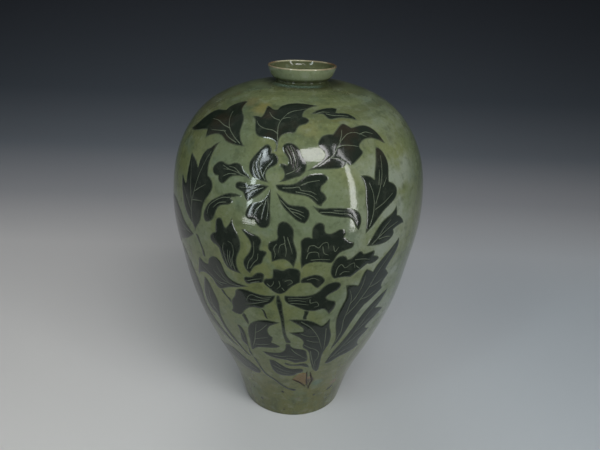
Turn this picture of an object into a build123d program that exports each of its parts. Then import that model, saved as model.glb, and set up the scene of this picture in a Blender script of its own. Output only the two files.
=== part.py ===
# Meiping vase of celadon stoneware with black iron slip leaves and blossoms.
# Frame: millimetres, +Z up, origin in the middle of the foot, the drawn front faces -Y.

import os
from math import cos, hypot, radians, sin

from build123d import *

os.makedirs("parts", exist_ok=True)

# Driving sizes of the thrown shape
shoulder_height = 316.5
belly_height = 214.5
belly_radius = 112
foot_radius = 49.2
shoulder_top_radius = 18
neck_radius = 22.4
mouth_height = 330
mouth_radius = 29.2

# Clay walls
body_wall = 7
floor_thickness = 11
neck_wall = 4.6
lip_thickness = 1.9

# Foot rim, turned when leather hard
foot_rim_width = 8.5
foot_recess_depth = 4.5
foot_edge_round = 1.2
recess_edge_round = 0.9

# Luting seams, where the thrown sections are bonded with clay slip
luting_thickness = 0.9
belly_seam_drop = 6
neck_seam_taper = 3
belly_seam_share = 0.5
neck_seam_share = 0.96

# Neck and dish-shaped mouth
neck_hollow_reach = 12
neck_waist_rise = 1.6
dish_under_rise = 4.5
dish_under_radius = 25.6
dish_side_rise = 9
dish_side_radius = 28
dish_floor_thickness = 2.4
dish_round = 1.6
throat_round = 0.9
lip_round = 0.8
throat_root_reach = 4
throat_radius = neck_radius - neck_wall

# Black iron slip, brushed on in separate strokes
slip_thickness = 0.35
slip_reach = 16
slip_start_share = 0.08
slip_end_share = 0.92
spray_count = 2

# Lump of kiln grit, burnt onto the glaze near the foot
scar_thickness = 0.8
scar_shares = [
    (0.6, 0.166),
    (3.0, 0.182),
    (5.6, 0.193),
    (8.2, 0.195),
    (10.4, 0.187),
    (11.2, 0.168),
    (11.8, 0.148),
    (12.0, 0.136),
    (9.6, 0.139),
    (7.0, 0.148),
    (3.6, 0.157),
]

# Share of the foot-to-belly height, share of the foot-to-belly swell
lower_wall_shares = [
    (0.077, 0.070),
    (0.185, 0.186),
    (0.308, 0.376),
    (0.462, 0.607),
    (0.615, 0.785),
    (0.769, 0.896),
    (0.923, 0.987),
]
# Share of the belly-to-shoulder height, share of the shoulder-to-belly swell
upper_wall_shares = [
    (0.162, 0.993),
    (0.421, 0.939),
    (0.647, 0.820),
    (0.809, 0.662),
    (0.906, 0.485),
    (0.971, 0.275),
]
wall_steps = 48
coat_steps = 18

# Each slip stroke below is drawn on the wall as (degrees round from the front, share from foot to neck).
# Its edges are smooth runs, each from one corner to the next. It ends on the strokes that it meets.
shoulder_leaf_shares = {
    "shoulder_leaf_left": {
        "edges": [
            [(-40.1, 0.878), (-39.5, 0.866), (-37.6, 0.851), (-33.6, 0.838), (-31.3, 0.823),
             (-30.2, 0.801), (-28.4, 0.785)],
            [(-24.8, 0.770), (-28.5, 0.769), (-33.0, 0.770), (-36.7, 0.774), (-40.0, 0.781),
             (-44.5, 0.781), (-47.8, 0.775)],
            [(-50.3, 0.768), (-51.4, 0.776)],
            [(-52.3, 0.784), (-57.0, 0.779), (-62.5, 0.771)],
            [(-69.9, 0.770), (-66.2, 0.783), (-64.2, 0.798), (-61.0, 0.820), (-57.5, 0.834),
             (-53.8, 0.838)],
            [(-49.8, 0.841), (-49.4, 0.856), (-46.8, 0.868), (-43.2, 0.877)],
        ],
    },
    "shoulder_leaf_middle": {
        "edges": [
            [(-11.0, 0.768), (-11.0, 0.785), (-13.2, 0.792), (-17.0, 0.793), (-20.7, 0.796),
             (-23.2, 0.810), (-25.2, 0.829)],
            [(-28.9, 0.838), (-25.8, 0.842)],
            [(-22.6, 0.841), (-22.2, 0.853), (-22.8, 0.865)],
            [(-23.0, 0.875), (-20.3, 0.873), (-17.5, 0.867)],
            [(-14.8, 0.867), (-13.6, 0.878), (-10.3, 0.886), (-5.8, 0.891), (0.0, 0.892), (6.6, 0.889)],
            [(14.0, 0.882), (8.8, 0.879), (4.6, 0.871), (2.4, 0.861)],
            [(1.8, 0.850), (4.3, 0.846), (5.4, 0.840), (4.3, 0.832), (1.5, 0.827), (-0.8, 0.821),
             (-1.8, 0.811)],
            [(-3.5, 0.807), (-6.5, 0.806), (-8.8, 0.799), (-9.6, 0.786)],
            [(-9.7, 0.768)],
        ],
    },
    "shoulder_leaf_crescent": {
        "edges": [
            [(6.2, 0.857), (9.6, 0.867), (14.0, 0.873), (19.0, 0.876)],
            [(25.2, 0.872), (24.3, 0.865)],
            [(22.8, 0.859), (26.5, 0.858), (30.0, 0.855), (32.5, 0.848)],
            [(34.2, 0.833), (30.8, 0.838), (26.5, 0.842), (21.5, 0.843), (17.5, 0.841),
             (15.6, 0.846), (14.2, 0.854), (10.5, 0.857)],
        ],
    },
    "shoulder_leaf_right": {
        "edges": [
            [(44.8, 0.773), (43.8, 0.787), (42.0, 0.804), (39.2, 0.816), (35.4, 0.822), (31.2, 0.821)],
            [(27.9, 0.819), (26.2, 0.825), (24.0, 0.830), (21.5, 0.826), (18.8, 0.816)],
            [(16.6, 0.807), (13.5, 0.807), (11.0, 0.803), (9.2, 0.794), (8.6, 0.784), (10.0, 0.776)],
            [(11.7, 0.765), (9.8, 0.753), (7.0, 0.744)],
            [(3.6, 0.733), (8.5, 0.736), (14.0, 0.736), (18.5, 0.738)],
            [(20.8, 0.745), (22.8, 0.741), (26.0, 0.749), (28.6, 0.757), (30.0, 0.765), (29.0, 0.774)],
            [(29.4, 0.780), (31.7, 0.787), (35.2, 0.790), (38.8, 0.787), (42.2, 0.779)],
        ],
    },
}
upper_blossom_shares = {
    "upper_petal_north_west": {
        "edges": [
            [(-11.4, 0.707), (-12.7, 0.715), (-13.0, 0.725), (-11.8, 0.734), (-9.6, 0.740),
             (-8.4, 0.749), (-9.2, 0.760)],
            [(-11.9, 0.765), (-12.3, 0.775), (-14.2, 0.782), (-16.6, 0.775), (-19.3, 0.758),
             (-21.0, 0.740), (-20.3, 0.724)],
            [(-18.4, 0.714), (-15.5, 0.710)],
        ],
    },
    "upper_petal_north_east": {
        "edges": [
            [(-7.3, 0.782), (-7.2, 0.772), (-5.6, 0.762), (-4.4, 0.753)],
            [(-4.6, 0.744), (-7.8, 0.743)],
            [(-7.5, 0.739), (-6.0, 0.732), (-5.6, 0.723), (-6.6, 0.714)],
            [(-7.8, 0.710), (-4.5, 0.713), (-1.4, 0.719), (1.0, 0.723)],
            [(2.0, 0.727), (3.5, 0.740), (3.1, 0.753), (1.3, 0.764), (0.4, 0.775), (-1.8, 0.785),
             (-5.0, 0.788)],
        ],
    },
    "upper_petal_east": {
        "edges": [
            [(-8.8, 0.705), (-5.0, 0.707), (-1.8, 0.709), (0.8, 0.716), (3.6, 0.725), (7.6, 0.729),
             (11.2, 0.726)],
            [(12.3, 0.720), (11.0, 0.710), (9.5, 0.703)],
            [(9.4, 0.696), (11.0, 0.688), (11.5, 0.680), (10.3, 0.673)],
            [(9.6, 0.666), (7.2, 0.671), (5.6, 0.679), (3.4, 0.685), (-0.5, 0.688), (-4.8, 0.691),
             (-8.0, 0.697)],
        ],
    },
    "upper_petal_south_east": {
        "edges": [
            [(-8.3, 0.691), (-5.6, 0.680), (-3.0, 0.670), (0.2, 0.668), (3.2, 0.666), (4.9, 0.656),
             (4.6, 0.642)],
            [(3.2, 0.632), (0.2, 0.637), (-2.6, 0.649), (-5.2, 0.662), (-7.0, 0.677)],
        ],
    },
    "upper_petal_south": {
        "edges": [
            [(-10.6, 0.697), (-10.2, 0.680), (-10.2, 0.662), (-9.8, 0.640), (-10.8, 0.621),
             (-13.2, 0.617), (-15.4, 0.624)],
            [(-16.4, 0.632), (-19.6, 0.634)],
            [(-20.3, 0.640), (-19.4, 0.655), (-17.6, 0.665), (-14.3, 0.670), (-12.2, 0.680)],
        ],
    },
    "upper_petal_south_west": {
        "edges": [
            [(-11.2, 0.701), (-14.5, 0.703), (-17.4, 0.701)],
            [(-20.0, 0.699), (-22.6, 0.703), (-25.4, 0.698), (-25.6, 0.692), (-23.4, 0.685)],
            [(-21.8, 0.682), (-20.9, 0.674), (-20.0, 0.668)],
            [(-18.0, 0.672), (-15.4, 0.680), (-13.0, 0.691)],
        ],
    },
    "upper_petal_west": {
        "edges": [
            [(-19.0, 0.709), (-20.0, 0.716), (-22.4, 0.723), (-24.6, 0.735), (-28.0, 0.736),
             (-30.8, 0.731), (-34.0, 0.734), (-37.2, 0.727), (-38.4, 0.715), (-37.4, 0.706)],
            [(-34.5, 0.704), (-33.8, 0.694), (-32.0, 0.690), (-30.0, 0.697), (-28.0, 0.707),
             (-24.5, 0.712), (-21.6, 0.712)],
        ],
    },
}
lower_blossom_shares = {
    "lower_blossom_heart": {
        "edges": [
            [(-8.9, 0.528), (-7.0, 0.531), (-5.2, 0.529)],
            [(-3.6, 0.533), (-1.0, 0.536), (1.8, 0.531), (2.4, 0.520)],
            [(2.2, 0.499), (0.2, 0.493), (-2.0, 0.483), (-3.8, 0.472)],
            [(-6.2, 0.466), (-8.6, 0.470), (-11.2, 0.481), (-13.0, 0.492), (-12.2, 0.503), (-10.0, 0.506)],
            [(-9.0, 0.513)],
        ],
    },
    "lower_petal_north": {
        "edges": [
            [(-7.0, 0.629), (-4.6, 0.636), (-2.0, 0.629), (-0.7, 0.615), (-0.8, 0.598),
             (0.2, 0.581), (0.7, 0.567), (0.2, 0.550)],
            [(-0.5, 0.535), (-2.0, 0.546), (-4.4, 0.554), (-7.0, 0.551)],
            [(-9.3, 0.546), (-9.4, 0.558)],
            [(-9.6, 0.568), (-10.8, 0.580), (-9.8, 0.592), (-7.6, 0.597)],
            [(-7.1, 0.602), (-7.4, 0.615)],
        ],
        "meets": ["lower_blossom_heart"],
    },
    "lower_petal_north_east": {
        "edges": [
            [(2.5, 0.534), (1.9, 0.555), (1.9, 0.580), (2.0, 0.599), (3.8, 0.605)],
            [(6.0, 0.603), (6.0, 0.620), (7.2, 0.632), (9.0, 0.635), (10.8, 0.629), (11.1, 0.617)],
            [(12.0, 0.612), (14.8, 0.614), (17.4, 0.619), (19.3, 0.613)],
            [(18.8, 0.602), (20.8, 0.593)],
            [(23.3, 0.587), (22.7, 0.576), (19.6, 0.571), (16.6, 0.562), (14.5, 0.546)],
            [(13.0, 0.546), (9.0, 0.549), (5.0, 0.546)],
        ],
    },
    "lower_petal_east": {
        "edges": [
            [(16.4, 0.505), (14.8, 0.514), (14.2, 0.528), (14.8, 0.544), (16.6, 0.558), (18.6, 0.561)],
            [(21.0, 0.551), (23.2, 0.554), (26.2, 0.565)],
            [(28.0, 0.558), (30.4, 0.558), (33.2, 0.559)],
            [(33.5, 0.547), (36.3, 0.535), (33.6, 0.528)],
            [(30.8, 0.530), (28.4, 0.522), (25.4, 0.511)],
            [(23.4, 0.504), (20.0, 0.507)],
        ],
    },
    "lower_petal_west": {
        "edges": [
            [(-22.2, 0.503), (-25.2, 0.505), (-28.6, 0.509), (-30.6, 0.522), (-31.8, 0.540),
             (-33.0, 0.555), (-36.2, 0.563), (-37.1, 0.572), (-35.8, 0.583)],
            [(-34.0, 0.588), (-33.9, 0.604), (-32.8, 0.620), (-31.0, 0.622), (-29.8, 0.611)],
            [(-28.7, 0.604), (-27.4, 0.612)],
            [(-25.8, 0.631), (-25.2, 0.615), (-23.6, 0.600), (-22.2, 0.584), (-22.1, 0.566),
             (-23.5, 0.548), (-24.3, 0.528)],
        ],
    },
    "lower_petal_north_west": {
        "edges": [
            [(-21.8, 0.608), (-20.0, 0.609), (-17.4, 0.604), (-14.6, 0.600), (-13.2, 0.590),
             (-13.8, 0.577)],
            [(-13.9, 0.571), (-11.1, 0.564), (-12.4, 0.552), (-13.1, 0.541), (-16.2, 0.530),
             (-17.6, 0.519)],
            [(-18.6, 0.510), (-20.6, 0.520), (-21.3, 0.534), (-20.0, 0.550), (-18.2, 0.565),
             (-17.8, 0.581), (-19.6, 0.596)],
        ],
    },
    "lower_petal_small_west": {
        "edges": [
            [(-21.9, 0.492), (-20.6, 0.500), (-18.0, 0.503), (-16.6, 0.511), (-13.2, 0.517)],
            [(-12.3, 0.510), (-12.7, 0.501), (-13.2, 0.493), (-16.6, 0.488), (-20.0, 0.481)],
        ],
        "meets": ["lower_blossom_heart"],
    },
    "lower_petal_small_east": {
        "edges": [
            [(2.9, 0.511), (5.2, 0.516), (8.0, 0.520), (11.0, 0.515), (12.5, 0.504), (11.3, 0.492)],
            [(9.7, 0.484), (8.0, 0.489), (6.2, 0.498), (2.8, 0.498)],
        ],
        "meets": ["lower_blossom_heart"],
    },
    "lower_wing_west": {
        "edges": [
            [(-8.0, 0.463), (-12.0, 0.459), (-16.0, 0.460), (-20.6, 0.464), (-25.8, 0.460)],
            [(-27.2, 0.452), (-28.2, 0.436), (-30.2, 0.418), (-30.0, 0.407)],
            [(-31.4, 0.392), (-28.8, 0.387), (-25.6, 0.389), (-24.0, 0.398), (-21.8, 0.411),
             (-18.6, 0.419), (-15.0, 0.420)],
            [(-12.8, 0.431), (-10.4, 0.439), (-9.0, 0.447)],
        ],
    },
    "lower_wing_east": {
        "edges": [
            [(-4.2, 0.464), (0.0, 0.464), (4.0, 0.465), (8.0, 0.469), (10.4, 0.477), (12.6, 0.490),
             (15.6, 0.497), (18.6, 0.496), (19.9, 0.488), (19.0, 0.476), (16.4, 0.468)],
            [(14.0, 0.458), (16.2, 0.449), (18.4, 0.444), (18.8, 0.431), (17.9, 0.420)],
            [(16.2, 0.409), (15.0, 0.417), (13.4, 0.425), (10.0, 0.422), (7.2, 0.422), (4.6, 0.425),
             (0.8, 0.434), (-2.8, 0.442)],
        ],
    },
}
side_leaf_shares = {
    "side_leaf_west": {
        "edges": [
            [(-22.0, 0.675), (-25.0, 0.678), (-29.5, 0.674), (-33.2, 0.663), (-37.0, 0.650),
             (-39.6, 0.632), (-40.6, 0.613), (-39.6, 0.603), (-37.4, 0.605), (-35.0, 0.615),
             (-33.6, 0.632), (-31.6, 0.646), (-28.0, 0.652)],
            [(-25.7, 0.663), (-26.8, 0.667)],
            [(-26.0, 0.669)],
        ],
    },
    "side_leaf_east": {
        "edges": [
            [(6.0, 0.668), (9.4, 0.663), (13.6, 0.663), (18.0, 0.661), (21.6, 0.658), (24.6, 0.650),
             (25.9, 0.636), (25.6, 0.620)],
            [(24.9, 0.611), (23.2, 0.622), (21.4, 0.637), (18.2, 0.641), (13.6, 0.645),
             (9.4, 0.650), (7.2, 0.659)],
        ],
    },
    "side_leaf_far_west": {
        "edges": [
            [(-39.2, 0.770), (-40.6, 0.750), (-41.1, 0.729), (-40.8, 0.711)],
            [(-40.0, 0.698), (-37.8, 0.693), (-36.5, 0.682), (-37.2, 0.666), (-39.8, 0.647),
             (-41.4, 0.627), (-42.8, 0.598), (-45.0, 0.582)],
            [(-46.8, 0.566), (-48.4, 0.584), (-51.0, 0.592), (-54.0, 0.606), (-56.6, 0.630),
             (-58.2, 0.650)],
            [(-59.6, 0.675), (-57.0, 0.670), (-55.2, 0.664)],
            [(-54.8, 0.678), (-55.1, 0.703)],
            [(-56.2, 0.730), (-53.4, 0.725), (-50.2, 0.718)],
            [(-47.6, 0.707), (-47.4, 0.728), (-46.6, 0.740)],
            [(-45.2, 0.749), (-43.6, 0.754), (-41.4, 0.764)],
        ],
    },
    "side_leaf_edge_west": {
        "edges": [
            [(-47.8, 0.560), (-51.6, 0.568), (-55.4, 0.578), (-59.0, 0.594), (-64.0, 0.608),
             (-70.0, 0.612), (-77.0, 0.600)],
            [(-84.0, 0.566), (-77.6, 0.532), (-71.0, 0.498)],
            [(-65.0, 0.512), (-59.0, 0.527), (-53.0, 0.542)],
        ],
        "meets": ["side_leaf_far_west"],
    },
    "side_leaf_far_east": {
        "edges": [
            [(37.6, 0.772), (40.0, 0.766), (41.8, 0.750), (42.2, 0.732), (41.2, 0.713)],
            [(40.7, 0.698), (43.2, 0.692), (45.0, 0.680), (44.2, 0.664), (40.8, 0.652),
             (36.6, 0.640), (32.8, 0.622)],
            [(28.0, 0.601), (28.1, 0.622), (28.2, 0.646), (27.7, 0.670), (27.9, 0.692)],
            [(26.1, 0.719), (29.4, 0.719)],
            [(32.8, 0.709), (33.6, 0.724), (35.2, 0.743), (36.4, 0.760)],
        ],
    },
    "side_leaf_jagged_east": {
        "edges": [
            [(29.0, 0.573), (31.0, 0.589), (33.4, 0.606), (36.4, 0.621), (40.4, 0.630)],
            [(44.2, 0.645), (44.8, 0.634)],
            [(44.8, 0.624), (47.6, 0.616)],
            [(50.0, 0.600), (46.4, 0.599)],
            [(42.8, 0.594), (43.4, 0.584), (41.4, 0.574), (37.0, 0.569), (32.6, 0.570)],
        ],
    },
    "side_leaf_curled_west": {
        "edges": [
            [(-19.2, 0.474), (-23.0, 0.476), (-26.6, 0.479), (-29.4, 0.486), (-31.2, 0.501),
             (-32.4, 0.519), (-34.6, 0.528), (-37.6, 0.525), (-39.6, 0.515)],
            [(-40.6, 0.501), (-43.2, 0.500)],
            [(-46.0, 0.508), (-47.8, 0.496), (-48.8, 0.482), (-50.2, 0.468)],
            [(-51.2, 0.450), (-48.6, 0.462), (-45.4, 0.469), (-41.8, 0.468)],
            [(-38.6, 0.454), (-35.4, 0.444), (-32.8, 0.450), (-29.0, 0.459), (-24.8, 0.465),
             (-21.8, 0.471)],
        ],
    },
}
foot_leaf_shares = {
    "foot_leaf_broad_west": {
        "edges": [
            [(-6.3, 0.386), (-8.8, 0.379), (-11.0, 0.372), (-12.4, 0.359), (-12.0, 0.346)],
            [(-10.2, 0.337), (-10.4, 0.327)],
            [(-11.2, 0.318), (-9.2, 0.314), (-6.8, 0.306), (-8.8, 0.299), (-13.2, 0.295),
             (-17.4, 0.291), (-21.2, 0.283), (-24.0, 0.272), (-24.4, 0.290), (-23.9, 0.312),
             (-23.8, 0.336), (-22.8, 0.357), (-21.0, 0.371), (-18.0, 0.382), (-14.0, 0.389),
             (-9.6, 0.389)],
        ],
    },
    "foot_leaf_slim_west": {
        "edges": [
            [(-29.9, 0.350), (-27.8, 0.352), (-26.2, 0.342), (-25.4, 0.322), (-25.6, 0.300),
             (-25.9, 0.280), (-25.4, 0.262)],
            [(-25.0, 0.244), (-26.8, 0.250), (-26.9, 0.268), (-27.2, 0.284), (-28.9, 0.292),
             (-29.4, 0.312), (-29.0, 0.332)],
        ],
    },
    "foot_leaf_slender_west": {
        "edges": [
            [(-46.0, 0.457), (-43.6, 0.450), (-41.8, 0.434), (-39.8, 0.412), (-39.0, 0.392),
             (-39.8, 0.368), (-39.6, 0.348), (-37.8, 0.322), (-35.2, 0.300), (-32.4, 0.279),
             (-29.6, 0.257)],
            [(-26.2, 0.240), (-28.6, 0.240), (-31.8, 0.256), (-35.0, 0.276), (-38.4, 0.296),
             (-41.0, 0.320), (-42.4, 0.344)],
            [(-43.6, 0.357), (-46.8, 0.362), (-49.0, 0.378), (-49.8, 0.398), (-49.0, 0.418),
             (-47.6, 0.438)],
        ],
        "meets": ["foot_leaf_slim_west"],
    },
    "foot_leaf_edge_west": {
        "edges": [
            [(-64.0, 0.505), (-59.4, 0.482), (-55.8, 0.456), (-53.4, 0.430), (-52.0, 0.402)],
            [(-52.4, 0.376), (-50.2, 0.350), (-46.8, 0.326), (-43.2, 0.306), (-39.0, 0.284)],
            [(-33.6, 0.258), (-38.2, 0.266), (-44.0, 0.284), (-51.0, 0.300), (-57.6, 0.315),
             (-62.6, 0.340)],
            [(-61.0, 0.366), (-66.6, 0.380), (-70.0, 0.412), (-70.2, 0.450), (-67.6, 0.484)],
        ],
        "meets": ["foot_leaf_slender_west"],
    },
    "foot_leaf_low_west": {
        "edges": [
            [(-62.0, 0.222), (-54.0, 0.230), (-47.0, 0.241), (-40.6, 0.243), (-35.4, 0.231),
             (-30.6, 0.217), (-26.8, 0.204)],
            [(-23.2, 0.184), (-24.4, 0.170)],
            [(-27.6, 0.164), (-33.4, 0.164), (-40.0, 0.170), (-47.4, 0.180), (-55.2, 0.196)],
        ],
    },
    "foot_leaf_fingered": {
        "edges": [
            [(-2.6, 0.397), (1.0, 0.399), (5.0, 0.398), (8.6, 0.393), (11.4, 0.385)],
            [(13.4, 0.378), (15.4, 0.385), (17.2, 0.396), (17.5, 0.384), (18.0, 0.368),
             (19.2, 0.350), (19.7, 0.330)],
            [(19.4, 0.306), (18.0, 0.286), (17.4, 0.262), (17.6, 0.240)],
            [(18.0, 0.214), (16.2, 0.198), (14.2, 0.206), (12.2, 0.226), (10.8, 0.246),
             (9.8, 0.268), (8.6, 0.288)],
            [(5.6, 0.303), (5.0, 0.313)],
            [(5.3, 0.321), (4.4, 0.334), (2.2, 0.344), (-0.2, 0.351)],
            [(-2.2, 0.358), (1.2, 0.360)],
            [(4.6, 0.362), (4.6, 0.370), (2.6, 0.380), (0.0, 0.389)],
        ],
    },
    "foot_leaf_upper_middle": {
        "edges": [
            [(-17.8, 0.277), (-14.6, 0.278), (-10.4, 0.280), (-6.8, 0.284), (-4.8, 0.293),
             (-4.0, 0.306), (-3.6, 0.318)],
            [(-1.2, 0.317), (0.8, 0.304), (4.6, 0.300)],
            [(8.0, 0.286), (8.8, 0.268), (8.8, 0.252)],
            [(4.4, 0.246), (1.4, 0.243), (-1.0, 0.249), (-4.8, 0.254), (-9.0, 0.256)],
            [(-12.6, 0.260), (-15.6, 0.267)],
        ],
    },
    "foot_leaf_lower_middle": {
        "edges": [
            [(-14.6, 0.246), (-11.4, 0.247), (-9.0, 0.240), (-6.6, 0.231), (-3.6, 0.221),
             (-0.4, 0.216), (3.8, 0.217)],
            [(7.0, 0.214), (7.4, 0.202)],
            [(3.4, 0.194), (1.4, 0.184), (-2.0, 0.180), (-6.0, 0.180), (-9.8, 0.184),
             (-12.4, 0.195), (-14.0, 0.214)],
        ],
    },
    "foot_leaf_curl_middle": {
        "edges": [
            [(-4.6, 0.243), (-2.8, 0.240), (0.4, 0.236), (3.6, 0.238), (7.4, 0.241), (9.6, 0.234)],
            [(10.8, 0.219), (8.8, 0.222), (5.4, 0.228), (1.2, 0.227), (-2.6, 0.229)],
            [(-5.0, 0.236)],
        ],
    },
    "foot_leaf_tall_east": {
        "edges": [
            [(47.6, 0.570), (48.3, 0.556), (47.2, 0.536), (45.0, 0.519), (43.0, 0.503)],
            [(42.8, 0.499), (44.4, 0.491)],
            [(45.9, 0.481), (44.2, 0.470), (43.2, 0.460)],
            [(44.4, 0.446), (41.6, 0.436), (38.0, 0.424)],
            [(34.6, 0.414), (31.4, 0.392), (28.6, 0.362), (26.4, 0.330), (23.8, 0.302)],
            [(21.4, 0.282), (21.8, 0.300), (22.4, 0.322), (21.8, 0.342), (20.8, 0.364),
             (20.2, 0.386), (20.6, 0.406), (21.8, 0.428), (23.1, 0.448), (22.9, 0.466)],
            [(21.9, 0.484), (25.0, 0.483)],
            [(28.2, 0.477), (28.9, 0.490), (29.6, 0.505)],
            [(31.0, 0.517), (32.8, 0.512)],
            [(34.8, 0.505), (36.6, 0.521), (39.6, 0.537), (43.4, 0.552)],
        ],
    },
    "foot_leaf_low_east": {
        "edges": [
            [(50.4, 0.434), (48.6, 0.418), (46.8, 0.404), (44.8, 0.394)],
            [(43.6, 0.390), (46.6, 0.386)],
            [(51.4, 0.374), (47.6, 0.362), (44.0, 0.350), (41.4, 0.338)],
            [(45.2, 0.324), (42.8, 0.308), (40.6, 0.294), (40.8, 0.280)],
            [(44.4, 0.264), (39.8, 0.255), (34.2, 0.248), (28.2, 0.240), (24.0, 0.227)],
            [(20.6, 0.229), (21.6, 0.248), (23.0, 0.270), (25.8, 0.296), (29.0, 0.326),
             (32.0, 0.358), (35.2, 0.388), (39.2, 0.408), (44.2, 0.424)],
        ],
    },
}
stem_shares = {
    "stem_middle": {
        "edges": [
            [(-7.5, 0.463), (-7.9, 0.450), (-7.7, 0.434), (-7.0, 0.418), (-6.3, 0.400),
             (-5.8, 0.380), (-5.4, 0.358), (-4.6, 0.338)],
            [(-3.7, 0.322), (-1.4, 0.321)],
            [(-2.6, 0.340), (-3.6, 0.360), (-4.0, 0.382), (-4.3, 0.404), (-4.9, 0.424),
             (-5.1, 0.442), (-5.9, 0.455)],
            [(-6.4, 0.463)],
        ],
        "meets": ["foot_leaf_upper_middle"],
    },
    "stem_wing_west": {
        "edges": [
            [(-15.2, 0.418), (-13.8, 0.406), (-12.4, 0.393)],
            [(-11.6, 0.393), (-12.8, 0.408), (-14.2, 0.419)],
        ],
        "meets": ["lower_wing_west", "foot_leaf_broad_west"],
    },
    "stem_wing_far_west": {
        "edges": [
            [(-25.4, 0.387), (-23.8, 0.372)],
            [(-22.6, 0.362), (-22.0, 0.370)],
            [(-22.6, 0.384), (-24.0, 0.396)],
        ],
        "meets": ["lower_wing_west", "foot_leaf_broad_west"],
    },
    "stem_wing_east": {
        "edges": [
            [(4.3, 0.423), (4.4, 0.411), (4.2, 0.400)],
            [(6.3, 0.399), (6.3, 0.410), (6.8, 0.420)],
        ],
        "meets": ["lower_wing_east", "foot_leaf_fingered"],
    },
    "stem_curled_leaf": {
        "edges": [
            [(-35.4, 0.442), (-34.0, 0.432), (-31.8, 0.422)],
            [(-30.6, 0.414), (-30.0, 0.420)],
            [(-31.0, 0.429), (-33.0, 0.437), (-34.2, 0.445)],
        ],
        "meets": ["side_leaf_curled_west", "lower_wing_west"],
    },
    "stem_far_west": {
        "edges": [
            [(-46.6, 0.563), (-44.8, 0.548), (-43.4, 0.532), (-43.0, 0.516)],
            [(-41.6, 0.516), (-41.7, 0.530), (-43.0, 0.545), (-45.4, 0.565)],
        ],
        "meets": ["side_leaf_far_west", "side_leaf_edge_west"],
    },
    "stem_foot": {
        "edges": [
            [(-25.2, 0.241), (-24.6, 0.226), (-23.4, 0.208), (-22.8, 0.192), (-21.4, 0.176),
             (-18.8, 0.163), (-15.6, 0.154), (-12.6, 0.143), (-9.6, 0.130), (-5.0, 0.116)],
            [(2.0, 0.105), (4.0, 0.109)],
            [(-2.6, 0.120), (-7.6, 0.135), (-10.8, 0.148), (-13.8, 0.160), (-17.2, 0.170),
             (-19.8, 0.184), (-21.2, 0.200), (-22.4, 0.218), (-23.6, 0.238)],
        ],
        "meets": ["foot_leaf_slim_west", "foot_leaf_slender_west", "foot_leaf_low_west"],
    },
}
slip_shares = shoulder_leaf_shares | upper_blossom_shares | lower_blossom_shares
slip_shares |= side_leaf_shares | foot_leaf_shares | stem_shares

# Outer wall: one smooth line from the foot edge to where the shoulder would close, as radius and height
wall_spots = [(foot_radius, 0)]
for rise_share, swell_share in lower_wall_shares:
    swell = swell_share * (belly_radius - foot_radius)
    wall_spots.append((foot_radius + swell, rise_share * belly_height))
wall_spots.append((belly_radius, belly_height))
for rise_share, swell_share in upper_wall_shares:
    swell = swell_share * (belly_radius - shoulder_top_radius)
    rise = rise_share * (shoulder_height - belly_height)
    wall_spots.append((shoulder_top_radius + swell, belly_height + rise))
wall_spots.append((shoulder_top_radius, shoulder_height))
with BuildLine() as wall:
    Spline(*wall_spots)
wall_line = wall.edge()


def beside_wall(share, outward):
    """Radius and height of a place on the wall line, moved square to it by the outward distance."""
    spot = wall_line.position_at(share)
    along = wall_line.tangent_at(share)
    return (spot.X + along.Y * outward, spot.Y - along.X * outward)


def wall_spot(turn, share):
    """Place on the outer wall, the turn in degrees round from the front."""
    spot = wall_line.position_at(share)
    return Vector(spot.X * sin(radians(turn)), -spot.X * cos(radians(turn)), spot.Y)


def wall_plane(turn, share):
    """Plane that touches the wall there, with x round the vase and y up the wall."""
    along = wall_line.tangent_at(share)
    round_way = Vector(cos(radians(turn)), sin(radians(turn)), 0)
    up_way = Vector(along.X * sin(radians(turn)), -along.X * cos(radians(turn)), along.Y)
    return Plane(wall_spot(turn, share), x_dir=round_way, z_dir=round_way.cross(up_way))


def on_plane(plane, places):
    """The same places on the wall, in the x and y of a plane that touches it."""
    spots = [plane.to_local_coords(wall_spot(turn, share)) for turn, share in places]
    return [(spot.X, spot.Y) for spot in spots]


def middle_of(places):
    """Middle of the stretch of wall that the places span."""
    turns, shares = zip(*places)
    return ((min(turns) + max(turns)) / 2, (min(shares) + max(shares)) / 2)


# Inner wall, from the floor to the root of the throat
floor_share = floor_thickness / wall_line.length
inner_run = 1 - throat_root_reach / wall_line.length - floor_share
inner_shares = [floor_share + inner_run * step / wall_steps for step in range(wall_steps + 1)]
inner_spots = [beside_wall(share, -body_wall) for share in inner_shares]
inner_spots[0] = (inner_spots[0][0], floor_thickness)

# Neck hollow, which flows out of the shoulder, round the waist and into the underside of the dish
root_share = 1 - neck_hollow_reach / wall_line.length
waist_height = shoulder_height + neck_waist_rise
under_height = shoulder_height + dish_under_rise
under_way = (dish_under_radius - neck_radius, under_height - waist_height)
hollow_spots = [
    wall_line.position_at(root_share),
    (neck_radius, waist_height),
    (dish_under_radius, under_height),
]

# Dish, which curves up and out to the lip
side_height = shoulder_height + dish_side_rise
dish_floor_height = under_height + dish_floor_thickness
dish_floor_radius = dish_under_radius - lip_thickness
foot_rim_inner = foot_radius - foot_rim_width

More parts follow.
